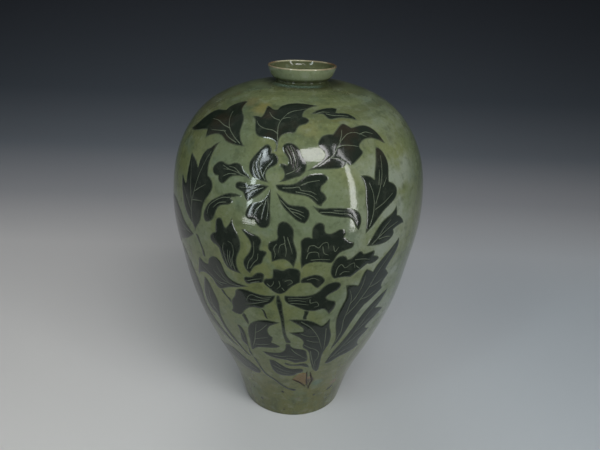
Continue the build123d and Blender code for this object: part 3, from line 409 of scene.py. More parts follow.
# Veins as (degrees round from the front, share of the wall from foot to neck), from the stem end out.
vein_shares = {
    "shoulder_leaf_left": [
        [(-28, 0.776), (-33, 0.789), (-38, 0.805), (-41.5, 0.825), (-43.5, 0.843)],
        [(-37.2, 0.803), (-43, 0.807), (-48.5, 0.813), (-54, 0.812)],
        [(-30.5, 0.777), (-36, 0.785), (-40.5, 0.796)],
        [(-39, 0.795), (-44.5, 0.792), (-49, 0.789)],
    ],
    "shoulder_leaf_middle": [
        [(-10.2, 0.793), (-11, 0.815), (-11.1, 0.828), (-9.9, 0.842), (-7.1, 0.86)],
        [(-11.2, 0.838), (-14, 0.841), (-16.8, 0.848), (-19, 0.857)],
        [(-10.6, 0.806), (-13.6, 0.813), (-18, 0.815), (-21.6, 0.821), (-23.8, 0.83)],
        [(-9.9, 0.842), (-7.5, 0.846), (-5.3, 0.846)],
        [(-7.6, 0.857), (-4.5, 0.865), (-0.5, 0.869), (4, 0.874)],
    ],
    "shoulder_leaf_crescent": [
        [(10, 0.86), (14, 0.864), (18.5, 0.862)],
        [(16, 0.858), (20, 0.853), (25.5, 0.851), (29.5, 0.847)],
    ],
    "shoulder_leaf_right": [
        [
            (8.5, 0.744), (12, 0.755), (15.5, 0.766), (18, 0.782),
            (21.2, 0.797), (25, 0.807), (29.5, 0.807), (34.4, 0.796),
        ],
        [(19.4, 0.792), (20.8, 0.803), (21.8, 0.816)],
        [(17.4, 0.779), (21, 0.783), (25.2, 0.781), (28, 0.778)],
        [(13.6, 0.76), (17.5, 0.757), (20.5, 0.751)],
        [(31, 0.803), (35, 0.806), (39, 0.8)],
    ],
    "upper_petal_north_west": [
        [(-13.2, 0.713), (-15.2, 0.725), (-16.8, 0.742), (-16.2, 0.76)],
        [(-14.4, 0.722), (-13, 0.738), (-11.2, 0.75)],
        [(-15.6, 0.716), (-18.2, 0.73), (-18.9, 0.744)],
    ],
    "upper_petal_north_east": [
        [(-4, 0.783), (-2.2, 0.768), (-1.2, 0.752), (-1.6, 0.736)],
        [(-5.6, 0.776), (-3.4, 0.76), (-2.8, 0.748)],
        [(-4.8, 0.727), (-2, 0.733), (0.6, 0.742)],
    ],
    "upper_petal_east": [
        [(-5.8, 0.701), (-2.4, 0.702), (0.4, 0.704), (1.6, 0.698), (5, 0.696), (7.4, 0.69)],
        [(-0.6, 0.695), (3, 0.692), (5.8, 0.687), (7.8, 0.679)],
        [(1.4, 0.708), (4.6, 0.714), (8.6, 0.717)],
    ],
    "upper_petal_south_east": [
        [(-6.4, 0.678), (-3.6, 0.664), (-0.8, 0.651), (1.8, 0.643)],
        [(-3.6, 0.664), (-0.4, 0.66), (2.6, 0.655)],
        [(-2, 0.657), (0.8, 0.653), (3, 0.647)],
    ],
    "upper_petal_south": [
        [(-11.4, 0.68), (-11, 0.66), (-11.6, 0.636)],
        [(-12, 0.676), (-13, 0.656), (-13.6, 0.638)],
        [(-13.2, 0.669), (-15.6, 0.656), (-16.6, 0.642)],
    ],
    "upper_petal_south_west": [
        [(-13.6, 0.698), (-17, 0.692), (-20.2, 0.684)],
        [(-16.4, 0.697), (-20, 0.694), (-23.6, 0.693)],
    ],
    "upper_petal_west": [
        [(-20.8, 0.714), (-25, 0.719), (-28.6, 0.722), (-32.4, 0.721)],
        [(-23.8, 0.717), (-27, 0.727), (-29.8, 0.728)],
        [(-26, 0.716), (-29.4, 0.714), (-32.2, 0.706)],
        [(-29.4, 0.722), (-33.4, 0.728)],
    ],
    "lower_blossom_heart": [
        [(-11.4, 0.492), (-10, 0.486), (-8.8, 0.494), (-8.6, 0.5)],
        [(-6.4, 0.502), (-6, 0.49), (-7.2, 0.482)],
        [(-4, 0.503), (-1.8, 0.507), (-1, 0.5), (-2.8, 0.493)],
        [(-5, 0.484), (-4.2, 0.478)],
    ],
    "lower_petal_north": [
        [(-4.6, 0.606), (-4.2, 0.592), (-6, 0.586), (-6.6, 0.57)],
        [(-3.2, 0.604), (-2.2, 0.588), (-1.2, 0.57)],
        [(-7.4, 0.588), (-8.4, 0.578), (-7.8, 0.566), (-8.2, 0.556)],
        [(-4.2, 0.592), (-3.6, 0.576), (-3.8, 0.562)],
    ],
    "lower_petal_north_east": [
        [(4.6, 0.575), (5.2, 0.586), (7, 0.588), (8.8, 0.583), (10.4, 0.592), (12.2, 0.593), (12.8, 0.58)],
        [(4.2, 0.559), (5.2, 0.572), (8.4, 0.573), (9.2, 0.562)],
        [(10.4, 0.585), (11, 0.571), (12.8, 0.566)],
        [(14.6, 0.585), (15.4, 0.573), (16.8, 0.582)],
        [(6, 0.556), (10, 0.557), (13.6, 0.555)],
    ],
    "lower_petal_east": [
        [
            (16.6, 0.516), (17, 0.532), (18.6, 0.541), (20.4, 0.532),
            (22.4, 0.538), (24.2, 0.54), (24.8, 0.528),
        ],
        [(18.4, 0.516), (20, 0.522), (22.6, 0.52)],
        [(25.4, 0.532), (27.2, 0.524)],
        [(24.4, 0.548), (28.2, 0.546), (31.4, 0.541)],
    ],
    "lower_petal_west": [
        [(-25.6, 0.514), (-26.4, 0.536), (-25.4, 0.554), (-26, 0.572), (-27.8, 0.577)],
        [(-27.4, 0.516), (-28.4, 0.534), (-28.2, 0.556)],
        [(-29, 0.52), (-30, 0.538), (-30.6, 0.556), (-30, 0.57)],
        [(-26.8, 0.522), (-27.4, 0.54), (-27, 0.556)],
    ],
    "lower_petal_north_west": [
        [(-19.6, 0.522), (-18.8, 0.54), (-17, 0.554), (-16.4, 0.57), (-16.6, 0.588)],
        [(-18.2, 0.526), (-16.6, 0.54), (-15, 0.55), (-14.8, 0.562)],
    ],
    "lower_petal_small_west": [
        [(-20, 0.491), (-17, 0.498), (-13.8, 0.503)],
        [(-18.6, 0.487), (-14.8, 0.495)],
    ],
    "lower_petal_small_east": [
        [(5, 0.508), (7.6, 0.512), (10, 0.506)],
    ],
    "lower_wing_west": [
        [(-10, 0.456), (-14.6, 0.451), (-18.6, 0.455), (-20.6, 0.448), (-21.8, 0.436)],
        [(-10.6, 0.451), (-15, 0.444), (-19.6, 0.441)],
        [(-11.4, 0.446), (-15.6, 0.437), (-19.4, 0.429), (-22.6, 0.424)],
    ],
    "lower_wing_east": [
        [(-2.6, 0.457), (1, 0.459), (4.6, 0.458), (7.4, 0.462)],
        [(-2.4, 0.451), (1.6, 0.453), (5, 0.45)],
        [(-1.6, 0.445), (2.4, 0.444), (6.4, 0.441)],
        [(6.8, 0.456), (7.2, 0.446), (9.8, 0.448), (10.8, 0.438), (9, 0.434)],
    ],
    "side_leaf_west": [
        [(-27.4, 0.669), (-31, 0.665), (-34.4, 0.655), (-37.4, 0.641), (-38.6, 0.622)],
        [(-29, 0.658), (-32.4, 0.653), (-35.2, 0.64)],
    ],
    "side_leaf_east": [
        [(9, 0.656), (13, 0.655), (17, 0.651), (20.8, 0.648), (23.6, 0.634)],
        [(14.4, 0.658), (18.4, 0.656)],
    ],
    "side_leaf_far_west": [
        [
            (-47.6, 0.58), (-48.8, 0.6), (-48.8, 0.63), (-47, 0.668),
            (-45.4, 0.7), (-43.8, 0.726), (-42.2, 0.748),
        ],
        [(-48.8, 0.632), (-50.4, 0.662), (-51.6, 0.69), (-53.8, 0.714)],
        [(-48.8, 0.612), (-52.4, 0.634), (-56.4, 0.656)],
        [(-47.2, 0.658), (-43.6, 0.671), (-40.6, 0.681)],
        [(-48.2, 0.638), (-44.8, 0.642), (-41.8, 0.644)],
    ],
    "side_leaf_edge_west": [
        [(-50.6, 0.56), (-57, 0.563), (-64, 0.571), (-72, 0.575)],
        [(-56, 0.556), (-62, 0.546), (-69, 0.53)],
    ],
    "side_leaf_far_east": [
        [(29.6, 0.616), (31.2, 0.64), (31.8, 0.664), (31.4, 0.686), (30, 0.704)],
        [(32.6, 0.662), (35.2, 0.69), (37.4, 0.72), (38.8, 0.754)],
        [(34.8, 0.698), (36.2, 0.726)],
        [(32.4, 0.65), (37, 0.66), (42, 0.674)],
        [(37, 0.692), (39.4, 0.708)],
    ],
    "side_leaf_jagged_east": [
        [(31.6, 0.576), (35.4, 0.59), (40, 0.602), (45.4, 0.61)],
        [(34.4, 0.587), (37.4, 0.606), (41.2, 0.62)],
        [(35, 0.584), (39, 0.585), (41.4, 0.582)],
    ],
    "side_leaf_curled_west": [
        [(-24, 0.471), (-29, 0.47), (-34, 0.477), (-38, 0.492)],
        [(-30.4, 0.473), (-33.4, 0.49), (-35.4, 0.508)],
        [(-31.4, 0.466), (-36.4, 0.465), (-41, 0.477), (-45.6, 0.488)],
        [(-34, 0.457), (-38, 0.462)],
    ],
    "foot_leaf_broad_west": [
        [(-22.6, 0.292), (-20.6, 0.316), (-19.4, 0.342), (-18.2, 0.372)],
        [(-21.4, 0.3), (-17.4, 0.303), (-12.4, 0.311)],
        [(-20.2, 0.32), (-16.6, 0.328), (-13, 0.334)],
        [(-19.2, 0.344), (-16.2, 0.356), (-12.6, 0.377)],
    ],
    "foot_leaf_slim_west": [
        [(-28.4, 0.342), (-27.6, 0.322), (-27.2, 0.3)],
    ],
    "foot_leaf_slender_west": [
        [(-42, 0.366), (-44.4, 0.382), (-45.2, 0.404), (-44.6, 0.428)],
        [(-43.4, 0.372), (-46.4, 0.388), (-47.4, 0.408)],
    ],
    "foot_leaf_edge_west": [
        [(-44.6, 0.3), (-51.4, 0.325), (-56, 0.352), (-58.8, 0.384), (-60, 0.43), (-61.8, 0.47)],
        [(-52.8, 0.322), (-58, 0.334)],
        [(-58.8, 0.388), (-63.4, 0.414), (-66.6, 0.446)],
    ],
    "foot_leaf_low_west": [
        [(-27, 0.184), (-34.4, 0.193), (-42.4, 0.206), (-52, 0.216)],
        [(-30.6, 0.196), (-36.6, 0.211), (-42.6, 0.224)],
        [(-33.4, 0.182), (-41, 0.187)],
    ],
    "foot_leaf_fingered": [
        [(3.6, 0.393), (7.8, 0.377), (10.4, 0.361), (12.8, 0.34), (14.4, 0.318), (15.8, 0.299)],
        [(6, 0.316), (9, 0.305), (12.6, 0.296), (14.8, 0.281), (15, 0.262), (13.8, 0.244), (14.8, 0.226)],
        [(9.8, 0.292), (10.6, 0.274), (11.6, 0.256), (13.2, 0.232), (14.8, 0.212)],
        [(16, 0.368), (16.4, 0.344), (16.8, 0.322), (17.2, 0.296)],
        [(4, 0.354), (8, 0.346), (12.2, 0.345)],
        [(7, 0.333), (10.4, 0.326), (13.6, 0.324)],
    ],
    "foot_leaf_upper_middle": [
        [(-0.6, 0.299), (2, 0.284), (5.6, 0.27), (8, 0.262)],
        [(-11, 0.27), (-6.6, 0.268), (-2.4, 0.272), (1, 0.27)],
        [(-3.6, 0.262), (0.6, 0.26), (4.2, 0.257)],
    ],
    "foot_leaf_lower_middle": [
        [(-12.4, 0.224), (-8.6, 0.214), (-4, 0.203), (1, 0.199)],
        [(-10.4, 0.202), (-6, 0.194), (-1.6, 0.19)],
        [(-10.4, 0.236), (-7.4, 0.222)],
    ],
    "foot_leaf_curl_middle": [
        [(-1.8, 0.235), (2.6, 0.232), (6.8, 0.234)],
    ],
    "foot_leaf_tall_east": [
        [(23, 0.316), (24.6, 0.35), (24.4, 0.386), (25.6, 0.416), (26.2, 0.444), (24.8, 0.468)],
        [(26, 0.43), (28.4, 0.446), (30.6, 0.474), (31.2, 0.5)],
        [(25.4, 0.4), (29.6, 0.424), (34.2, 0.46), (37.4, 0.496), (41.4, 0.526), (45.8, 0.554)],
        [(34.6, 0.464), (38.8, 0.468), (42.6, 0.476)],
        [(31, 0.436), (35.4, 0.438), (40.2, 0.448)],
    ],
    "foot_leaf_low_east": [
        [(23.2, 0.246), (27.6, 0.278), (32, 0.314), (36.2, 0.356), (40.4, 0.388), (46, 0.414)],
        [(26, 0.254), (32, 0.268), (39, 0.27)],
        [(30.4, 0.288), (36, 0.308), (41.4, 0.322)],
        [(34.6, 0.334), (40.4, 0.356), (46.4, 0.37)],
    ],
}


def to_wall(points):
    """Turn and length up the wall of points near it."""
    radius = np.hypot(points[:, 0], points[:, 1])
    out = radius[:, None] - wall_line[None, :, 0]
    up = points[:, 2][:, None] - wall_line[None, :, 1]
    nearest = np.argmin(out**2 + up**2, axis=1)
    return np.arctan2(points[:, 0], -points[:, 1]), wall_length[nearest]


def front_outline(node):
    """The edge of a stroke's painted face on the front of the vase, as a closed ring of points."""
    mesh = nodes[node].data
    parent = list(range(len(mesh.vertices)))

    def root(index):
        while parent[index] != index:
            parent[index] = parent[parent[index]]
            index = parent[index]
        return index

    for edge in mesh.edges:
        parent[root(edge.vertices[0])] = root(edge.vertices[1])
    areas = {}
    for face in mesh.polygons:
        centre = face.center
        if centre.y < 0 and face.normal.x * centre.x + face.normal.y * centre.y > 0:
            key = root(face.vertices[0])
            areas[key] = areas.get(key, 0) + face.area
    face_key = max(areas, key=areas.get)
    uses = {}
    for face in mesh.polygons:
        if root(face.vertices[0]) == face_key:
            for key in face.edge_keys:
                uses[key] = uses.get(key, 0) + 1
    beside = {}
    for (a, b), count in uses.items():
        if count == 1:
            beside.setdefault(a, []).append(b)
            beside.setdefault(b, []).append(a)
    chain = [next(iter(beside))]
    chain.append(beside[chain[0]][0])
    while True:
        ahead = [index for index in beside[chain[-1]] if index != chain[-2]]
        if not ahead or ahead[0] == chain[0]:
            break
        chain.append(ahead[0])
    return np.array([mesh.vertices[index].co for index in chain])


def respaced(line, gap, closed=False):
    """The same line with points about a gap apart, its corners kept."""
    ends = np.vstack([line, line[:1]]) if closed else line
    out = []
    for first, second in zip(ends[:-1], ends[1:]):
        count = max(1, int(round(np.linalg.norm(second - first) / gap)))
        out += [first + (second - first) * step / count for step in range(count)]
    if not closed:
        out.append(ends[-1])
    return np.array(out)


def gap_to(points, line, closed=False):
    """Distance of each point to a line of points, and how many points along it the nearest place is."""
    starts = line if closed else line[:-1]
    ends = np.roll(line, -1, axis=0) if closed else line[1:]
    run = ends - starts
    share = np.einsum("pij,ij->pi", points[:, None] - starts[None], run)
    share = np.clip(share / np.maximum((run**2).sum(1), least_square), 0, 1)
    near = starts[None] + share[..., None] * run[None]
    gaps = np.linalg.norm(points[:, None] - near, axis=2)
    nearest = np.argmin(gaps, 1)
    return gaps.min(1), nearest + share[np.arange(len(points)), nearest]


def inside(points, ring):
    """Whether flat points lie inside a flat ring."""
    x, y = points[:, 0][:, None], points[:, 1][:, None]
    x1, y1 = ring[:, 0][None], ring[:, 1][None]
    x2, y2 = np.roll(ring[:, 0], -1)[None], np.roll(ring[:, 1], -1)[None]
    crossed = (y1 > y) != (y2 > y)
    with np.errstate(divide="ignore", invalid="ignore"):
        hit = x < (x2 - x1) * (y - y1) / (y2 - y1) + x1
    return (np.sum(crossed & hit, axis=1) % 2) == 1


def smooth_line(line, steps=8):
    """A Catmull-Rom curve through a short list of places."""
    line = np.array(line, float)
    padded = np.vstack([2 * line[0] - line[1], line, 2 * line[-1] - line[-2]])
    out = []
    for a, b, c, d in zip(padded[:-3], padded[1:-2], padded[2:-1], padded[3:]):
        for step in range(steps):
            t = step / steps
            bend = (2 * a - 5 * b + 4 * c - d) * t**2
            twist = (3 * b - a - 3 * c + d) * t**3
            out.append(0.5 * (2 * b + (c - a) * t + bend + twist))
    out.append(line[-1])
    return np.array(out)


def flat_line(shares, middle, spacing):
    """Evenly spaced flat points of a smooth line through places given as (degrees, share of the wall)."""
    places = [(radians(turn) * middle, share * full_length - foot_gap) for turn, share in shares]
    return respaced(smooth_line(places), spacing)


def patch_of(flat_ring, lines, insets, column_gap, row_gap):
    """Points and faces of a flat patch inside a ring, closer together along its edge and the lines."""
    candidates = []
    ahead = np.roll(flat_ring, -1, axis=0) - np.roll(flat_ring, 1, axis=0)
    side = np.column_stack([-ahead[:, 1], ahead[:, 0]])
    side /= np.maximum(np.linalg.norm(side, axis=1), least_length)[:, None]
    for inset in insets:
        for way in (1, -1):
            candidates.append((flat_ring + side * way * inset, inset * inset_room_share))
    for line in lines:
        run = np.gradient(line, axis=0)
        across = np.column_stack([-run[:, 1], run[:, 0]])
        across /= np.maximum(np.linalg.norm(across, axis=1), least_length)[:, None]
        for offset in vein_rows:
            candidates.append((line + across * offset, vein_row_room))
    low, high = flat_ring.min(0), flat_ring.max(0)
    columns = np.arange(low[0], high[0], column_gap)
    rows = np.arange(low[1], high[1], row_gap)
    grid = np.array([(x + column_gap / 2 * (row % 2), y) for row, y in enumerate(rows) for x in columns])
    candidates.append((grid, column_gap / 2))
    taken = set()
    inner = []
    for spots, room in candidates:
        spots = spots[inside(spots, flat_ring)]
        if not len(spots):
            continue
        gaps, _ = gap_to(spots, flat_ring, closed=True)
        for spot in spots[gaps > room]:
            key = (int(spot[0] / point_cell), int(spot[1] / point_cell))
            if key not in taken:
                taken.add(key)
                inner.append(spot)
    points = np.vstack([flat_ring, np.array(inner).reshape(-1, 2)])
    ring_order = list(range(len(flat_ring)))
    flat_points = [Vector(point) for point in points * flat_scale]
    flat, _, faces, *_ = delaunay_2d_cdt(flat_points, [], [ring_order], keep_inside, join_reach)
    return np.array([tuple(point) for point in flat]) / flat_scale, [tuple(face) for face in faces]


def slip_piece(name, points, faces, values, finish):
    """A piece of the given points and faces that stands for the CAD node of that name."""
    a, b, c = (points[index] for index in faces[0][:3])
    if np.dot(np.cross(b - a, c - a)[:2], a[:2]) < 0:
        faces = [face[::-1] for face in faces]
    mesh = bpy.data.meshes.new(name + "_coat")
    mesh.from_pydata([tuple(p) for p in points], [], faces)
    for key, amounts in values.items():
        attribute = mesh.attributes.new(key, "FLOAT", "POINT")
        attribute.data.foreach_set("value", amounts.astype(np.float32))
    mesh.shade_smooth()
    piece = bpy.data.objects.new(name + "_coat", mesh)
    bpy.context.scene.collection.objects.link(piece)
    piece.data.materials.append(finish)
    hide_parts(name)
    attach(piece, "root")
    return piece


def paint_stroke(name, veins):
    """One coat of slip with soft raised edges and scratched veins, on the front and again on the back."""
    turn, along = to_wall(respaced(front_outline(name), outline_spacing, closed=True))
    middle = np.interp(along.mean(), wall_length, wall_line[:, 0])
    flat_ring = np.column_stack([turn * middle, along])
    vein_lines = [flat_line(vein, middle, vein_spacing) for vein in veins]
    flat, faces = patch_of(flat_ring, vein_lines, stroke_insets, *stroke_gaps)
    surface = on_wall(flat[:, 0] / middle, flat[:, 1])
    edge_gap, _ = gap_to(surface, on_wall(turn, along), closed=True)
    vein_gap = np.full(len(flat), vein_none)
    for line in vein_lines:
        gaps, where = gap_to(surface, on_wall(line[:, 0] / middle, line[:, 1]))
        taper = 1 - vein_taper * (where / (len(line) - 1)) ** 2
        vein_gap = np.minimum(vein_gap, gaps / taper)
    edge_share = np.clip(edge_gap / slip_edge_width, 0, 1)
    vein_share = np.clip(vein_gap / (2 * vein_half_width), 0, 1)
    lift = slip_lift + slip_thickness * np.sin(edge_share * pi / 2) * (0.6 + 0.4 * vein_share)
    front = on_wall(flat[:, 0] / middle, flat[:, 1], lift)
    both = np.vstack([front, front * (-1, -1, 1)])
    faces += [tuple(index + len(front) for index in face) for face in faces]
    # A stem is too slim to reach its full black between two soft edges, so its coat counts as wider.
    slim = max(0, 1 - edge_gap.max() / slip_full_reach)
    full_coat = edge_gap * max(1, slip_full_reach / edge_gap.max())
    full_coat = full_coat + slip_full_reach * slim * slip_slim_share
    values = {"edge": np.tile(full_coat, 2), "vein": np.tile(vein_gap, 2)}
    return slip_piece(name, both, faces, values, slip)


slip, slip_shader, shade = new_finish("iron_slip")
place = shade.node("TexCoord", output=3)
edge = shade.node("Attribute", {"attribute_name": "edge"}, output=2)
vein = shade.node("Attribute", {"attribute_name": "vein"}, output=2)
height = shade.node("SeparateXYZ", sockets={"Vector": place}, output=2)
fray = shade.node("TexNoise", {}, {"Vector": place, "Scale": 620.0, "Detail": 3.0, "Roughness": 0.6})
mottle = shade.node("TexNoise", {}, {"Vector": place, "Scale": 130.0, "Detail": 4.0, "Roughness": 0.6})
cloud = shade.node("TexNoise", {}, {"Vector": place, "Scale": 30.0, "Detail": 3.0, "Roughness": 0.5})
coat = (edge + (fray - 0.5) * slip_fray).over(*slip_coat_reach)
scratch = 1 - (vein + (fray - 0.5) * vein_fray).over(vein_core, vein_half_width + vein_soft_reach)
black = (mottle.over(0.45, 0.75) * 0.6).mix(slip_black, slip_worn)
black = (cloud.over(0.50, 0.64) * height.over(*slip_rust_heights) * 0.45).mix(black, slip_rust)
tone = coat.mix(slip_edge, black)
tone = (scratch * 0.68).mix(tone, vein_pale)
shade.join(tone, slip_shader.inputs["Base Color"])
shade.join(0.07 + coat * (0.02 + cloud * 0.05), slip_shader.inputs["Roughness"])
slip_shader.inputs["IOR"].default_value = glaze_ior
relief = fray * 0.35 + mottle * 0.65
bump = shade.node("Bump", {}, {"Height": relief, "Strength": 0.3, "Distance": slip_mottle_depth})
shade.join(bump, slip_shader.inputs["Normal"])
stroke_kinds = ("shoulder_leaf", "upper_petal", "lower_", "side_leaf", "foot_leaf", "stem")
for name in sorted(nodes):
    if name.startswith(stroke_kinds) and name != "lower_body":
        paint_stroke(name, vein_shares.get(name, []))


# Kiln scar.
# Real piece: a lump of grit that fell on the glaze in the kiln and burnt orange-brown. Dark cracks run
# through it and beside it, where the glaze tore as it cooled.
scar_lift = 0.00065
scar_edge_lift = 0.00005
scar_edge_width = 0.0016
scar_outline_spacing = 0.0005
scar_insets = (0.0004, 0.0009)
scar_gaps = (0.0007, 0.0006)
scar_crumb_depth = 0.0005
crack_half_width = 0.00085
crack_ridge_lift = 1.15 * scar_lift
crack_spacing = 0.0006
scar_orange = (0.140, 0.092, 0.036)
scar_buff = (0.165, 0.128, 0.066)
crack_dark = (0.020, 0.010, 0.006)
# Cracks as (degrees round from the front, share of the wall from foot to neck).
crack_shares = [
    [(10.2, 0.199), (10.5, 0.178), (11.0, 0.153), (12.8, 0.132), (14.6, 0.114)],
    [(12.8, 0.197), (13.8, 0.178), (15.8, 0.156), (14.6, 0.132), (14.8, 0.114)],
    [(0.4, 0.165), (3.2, 0.158), (6.4, 0.147), (11.2, 0.128)],
]


def crumble(points):
    """A small uneven height from -1 to 1 for flat points, like crushed grit."""
    x, y = points[:, 0] * flat_scale, points[:, 1] * flat_scale
    return (np.sin(2.1 * x + 1.3 * np.sin(1.7 * y)) + np.sin(2.9 * y + 1.1 * np.sin(2.3 * x))) / 2


def crack_ribbon(line, middle, half_width):
    """Points and faces of a tapered ribbon along a flat line, laid just over the wall."""
    run = np.gradient(line, axis=0)
    side = np.column_stack([-run[:, 1], run[:, 0]]) / np.linalg.norm(run, axis=1)[:, None]
    width = half_width * np.sin(np.linspace(0.15, 0.95, len(line)) * pi)
    rows = [line - side * width[:, None], line, line + side * width[:, None]]
    flat = np.vstack(rows)
    count = len(line)
    lifts = (scar_edge_lift, crack_ridge_lift, scar_edge_lift)
    lift = np.concatenate([np.full(count, height) for height in lifts])
    faces = [
        (row * count + i, row * count + i + 1, (row + 1) * count + i + 1, (row + 1) * count + i)
        for row in (0, 1)
        for i in range(count - 1)
    ]
    return on_wall(flat[:, 0] / middle, flat[:, 1], lift), faces


def paint_scar():
    """The burnt lump as one crumbled patch, and the cracks as dark ribbons over it."""
    outline = respaced(front_outline("kiln_scar"), scar_outline_spacing, closed=True)
    turn, along = to_wall(outline)
    middle = np.interp(along.mean(), wall_length, wall_line[:, 0])
    flat_ring = np.column_stack([turn * middle, along])
    flat, faces = patch_of(flat_ring, [], scar_insets, *scar_gaps)
    edge_gap, _ = gap_to(flat, flat_ring, closed=True)
    swell = np.sin(np.clip(edge_gap / scar_edge_width, 0, 1) * pi / 2)
    lift = scar_edge_lift + scar_lift * swell * (0.7 + 0.3 * crumble(flat))
    places = on_wall(flat[:, 0] / middle, flat[:, 1], lift)
    points = [places]
    dark = [np.zeros(len(places))]
    total = len(places)
    for shares in crack_shares:
        line = flat_line(shares, middle, crack_spacing)
        places, ribbon_faces = crack_ribbon(line, middle, crack_half_width)
        faces += [tuple(index + total for index in face) for face in ribbon_faces]
        points.append(places)
        dark.append(np.ones(len(places)))
        total += len(places)
    values = {"dark": np.concatenate(dark)}
    return slip_piece("kiln_scar", np.vstack(points), faces, values, scar)


scar, scar_shader, shade = new_finish("kiln_grit")
place = shade.node("TexCoord", output=3)
dark = shade.node("Attribute", {"attribute_name": "dark"}, output=2)
crumb = shade.node("TexNoise", {}, {"Vector": place, "Scale": 420.0, "Detail": 4.0, "Roughness": 0.7})
tone = crumb.over(0.38, 0.62).mix(scar_orange, scar_buff)
tone = (crumb.over(0.60, 0.70) * 0.8).mix(tone, crack_dark)
tone = dark.mix(tone, crack_dark)
shade.join(tone, scar_shader.inputs["Base Color"])
scar_shader.inputs["Roughness"].default_value = 0.45
bump = shade.node("Bump", {}, {"Height": crumb, "Strength": 0.6, "Distance": scar_crumb_depth})
shade.join(bump, scar_shader.inputs["Normal"])
paint_scar()


# Studio floor and backdrop.
# A pale table top that curves up far behind into a slate-grey wall.
# Colour of the paper at each depth behind the vase, which darkens towards the top of the wall.
sweep_depths = [
    (-0.17, (0.640, 0.635, 0.615)),
    (0.33, (0.610, 0.605, 0.600)),
    (0.56, (0.360, 0.368, 0.388)),
    (0.90, (0.180, 0.203, 0.230)),
    (1.20, (0.061, 0.073, 0.088)),
    (1.50, (0.014, 0.016, 0.021)),
]
# Painted shade makes the paper darker and cooler at the right, near the vase.
sweep_shade_tint = (0.66, 0.73, 0.79)
sweep_shade_places = (-0.35, 0.35)
sweep_shade_depths = (0.15, 0.70)
sweep_near, sweep_far = sweep_depths[0][0], sweep_depths[-1][0]
sweep_half_width = 3.0
sweep_height = 3.0
sweep_flat_end = 0.9
sweep_bend_radius = 0.6
sweep_steps = 16
floor_finish, floor_shader, shade = new_finish("studio_paper")
place = shade.node("NewGeometry", output=0)
depth = shade.node("SeparateXYZ", sockets={"Vector": place}, output=1)
stops = [((y - sweep_near) / (sweep_far - sweep_near), colour) for y, colour in sweep_depths]
sweep_share = (depth - sweep_near) / (sweep_far - sweep_near)
sweep_tone = shade.node("ValToRGB", {"stops": stops}, {"Fac": sweep_share})
across = shade.node("SeparateXYZ", sockets={"Vector": place}, output=0)
settings = {"data_type": "RGBA", "blend_type": "MULTIPLY"}
right_shade = across.over(*sweep_shade_places) * (1 - depth.over(*sweep_shade_depths))
sweep_tone = shade.node("Mix", settings, {0: right_shade, 6: sweep_tone, 7: sweep_shade_tint}, 2)
shade.join(sweep_tone, floor_shader.inputs["Base Color"])
floor_shader.inputs["Roughness"].default_value = 0.9
profile = [(sweep_near, 0.0), (sweep_flat_end, 0.0)]
for step in range(1, sweep_steps + 1):
    turn = step / sweep_steps * pi / 2
    y = sweep_flat_end + sweep_bend_radius * sin(turn)
    z = sweep_bend_radius - sweep_bend_radius * cos(turn)
    profile.append((y, z))
profile.append((sweep_flat_end + sweep_bend_radius, sweep_height))
mesh = bpy.data.meshes.new("studio_sweep")
mesh.from_pydata(
    [(x, y, z) for x in (-sweep_half_width, sweep_half_width) for y, z in profile],
    [],
    [(i, i + 1, i + 1 + len(profile), i + len(profile)) for i in range(len(profile) - 1)],
)
mesh.shade_smooth()
sweep = bpy.data.objects.new("studio_sweep", mesh)
bpy.context.scene.collection.objects.link(sweep)
sweep.data.materials.append(floor_finish)


# Studio light.
# A window-shaped soft box in front of the vase, two tall strips at its sides, two small panels on the left,
# and an even fill that the glaze doesn't mirror.
faint_pink = (1.0, 0.98, 1.0)
pink = (1.0, 0.93, 0.95)
pale_blue = (0.86, 0.97, 1.0)
white = (1, 1, 1)
air_light = (0.94, 0.97, 1.0, 1)
air_strength = 0.10
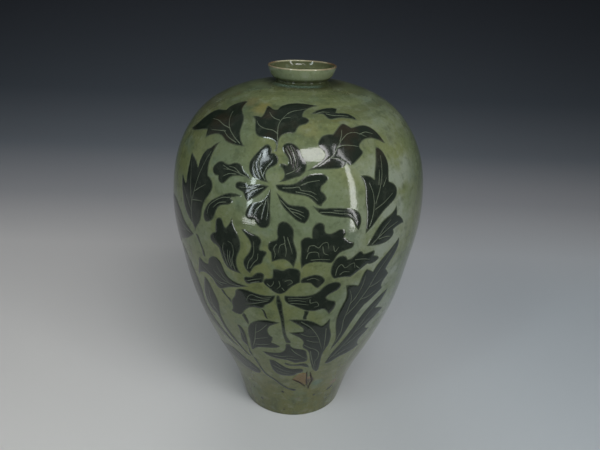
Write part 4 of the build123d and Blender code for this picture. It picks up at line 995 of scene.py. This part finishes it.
# Lamps as (name, place, place they face, width, height, power, colour, degrees turned, whether mirrored).
soft_boxes = [
    ("window", (0.150, -0.515, 0.805), (0.010, -0.095, 0.280), 0.245, 0.185, 1.25, faint_pink, 0, True),
    ("window_edge", (-0.062, -0.556, 0.768), (-0.004, -0.097, 0.278), 0.022, 0.42, 0.17, pink, 21, True),
    ("left_strip", (-0.450, -0.575, 0.590), (0, 0, 0.590), 0.042, 0.98, 1.45, pale_blue, 0, True),
    ("left_head", (-0.350, -0.473, 0.760), (-0.025, -0.093, 0.278), 0.07, 0.18, 0.30, pale_blue, 40, True),
    ("left_foot", (-0.477, -0.618, 0.066), (-0.030, -0.107, 0.230), 0.14, 0.028, 0.12, white, 0, True),
    ("right_strip", (0.500, -0.500, 0.590), (0, 0, 0.590), 0.062, 1.12, 1.75, white, 0, True),
    ("front_fill", (0.45, -1.20, 1.05), (0, 0, 0.15), 1.3, 1.0, 12.5, white, 0, False),
    ("back_fill", (-0.3, 0.80, 1.5), (-0.1, 0.80, 0), 1.4, 0.7, 5.0, white, 0, False),
]
for name, spot, aim, width, height, power, colour, turn, mirrored in soft_boxes:
    lamp = bpy.data.lights.new(name, "AREA")
    lamp.shape = "RECTANGLE"
    lamp.size = width
    lamp.size_y = height
    lamp.energy = power
    lamp.color = colour
    box = bpy.data.objects.new(name, lamp)
    box.location = spot
    facing = (Vector(aim) - Vector(spot)).to_track_quat("-Z", "Y").to_matrix().to_4x4()
    box.rotation_euler = (facing @ Matrix.Rotation(radians(turn), 4, "Z")).to_euler()
    box.visible_glossy = mirrored
    bpy.context.scene.collection.objects.link(box)
world = bpy.data.worlds.new("studio_air")
world.use_nodes = True
world.node_tree.nodes["Background"].inputs["Color"].default_value = air_light
world.node_tree.nodes["Background"].inputs["Strength"].default_value = air_strength
bpy.context.scene.world = world


# Camera.
# A little above the mouth, looking down on the shoulder, as the photograph was taken.
photo_width = 600
focal_pixels = 585
sensor_width = 36.0
camera_place = (0.00264, -0.5062, 0.3988)
camera_pitch = 23.09
camera_roll = 1.93
camera_near = 0.01
camera = bpy.data.objects.new("camera", bpy.data.cameras.new("camera"))
camera.data.sensor_width = sensor_width
camera.data.lens = focal_pixels / photo_width * sensor_width
camera.data.clip_start = camera_near
camera.location = camera_place
camera.rotation_euler = (
    Matrix.Rotation(radians(90 - camera_pitch), 4, "X") @ Matrix.Rotation(radians(camera_roll), 4, "Z")
).to_euler()
bpy.context.scene.collection.objects.link(camera)
bpy.context.scene.camera = camera
bpy.context.scene.view_settings.view_transform = "Standard"
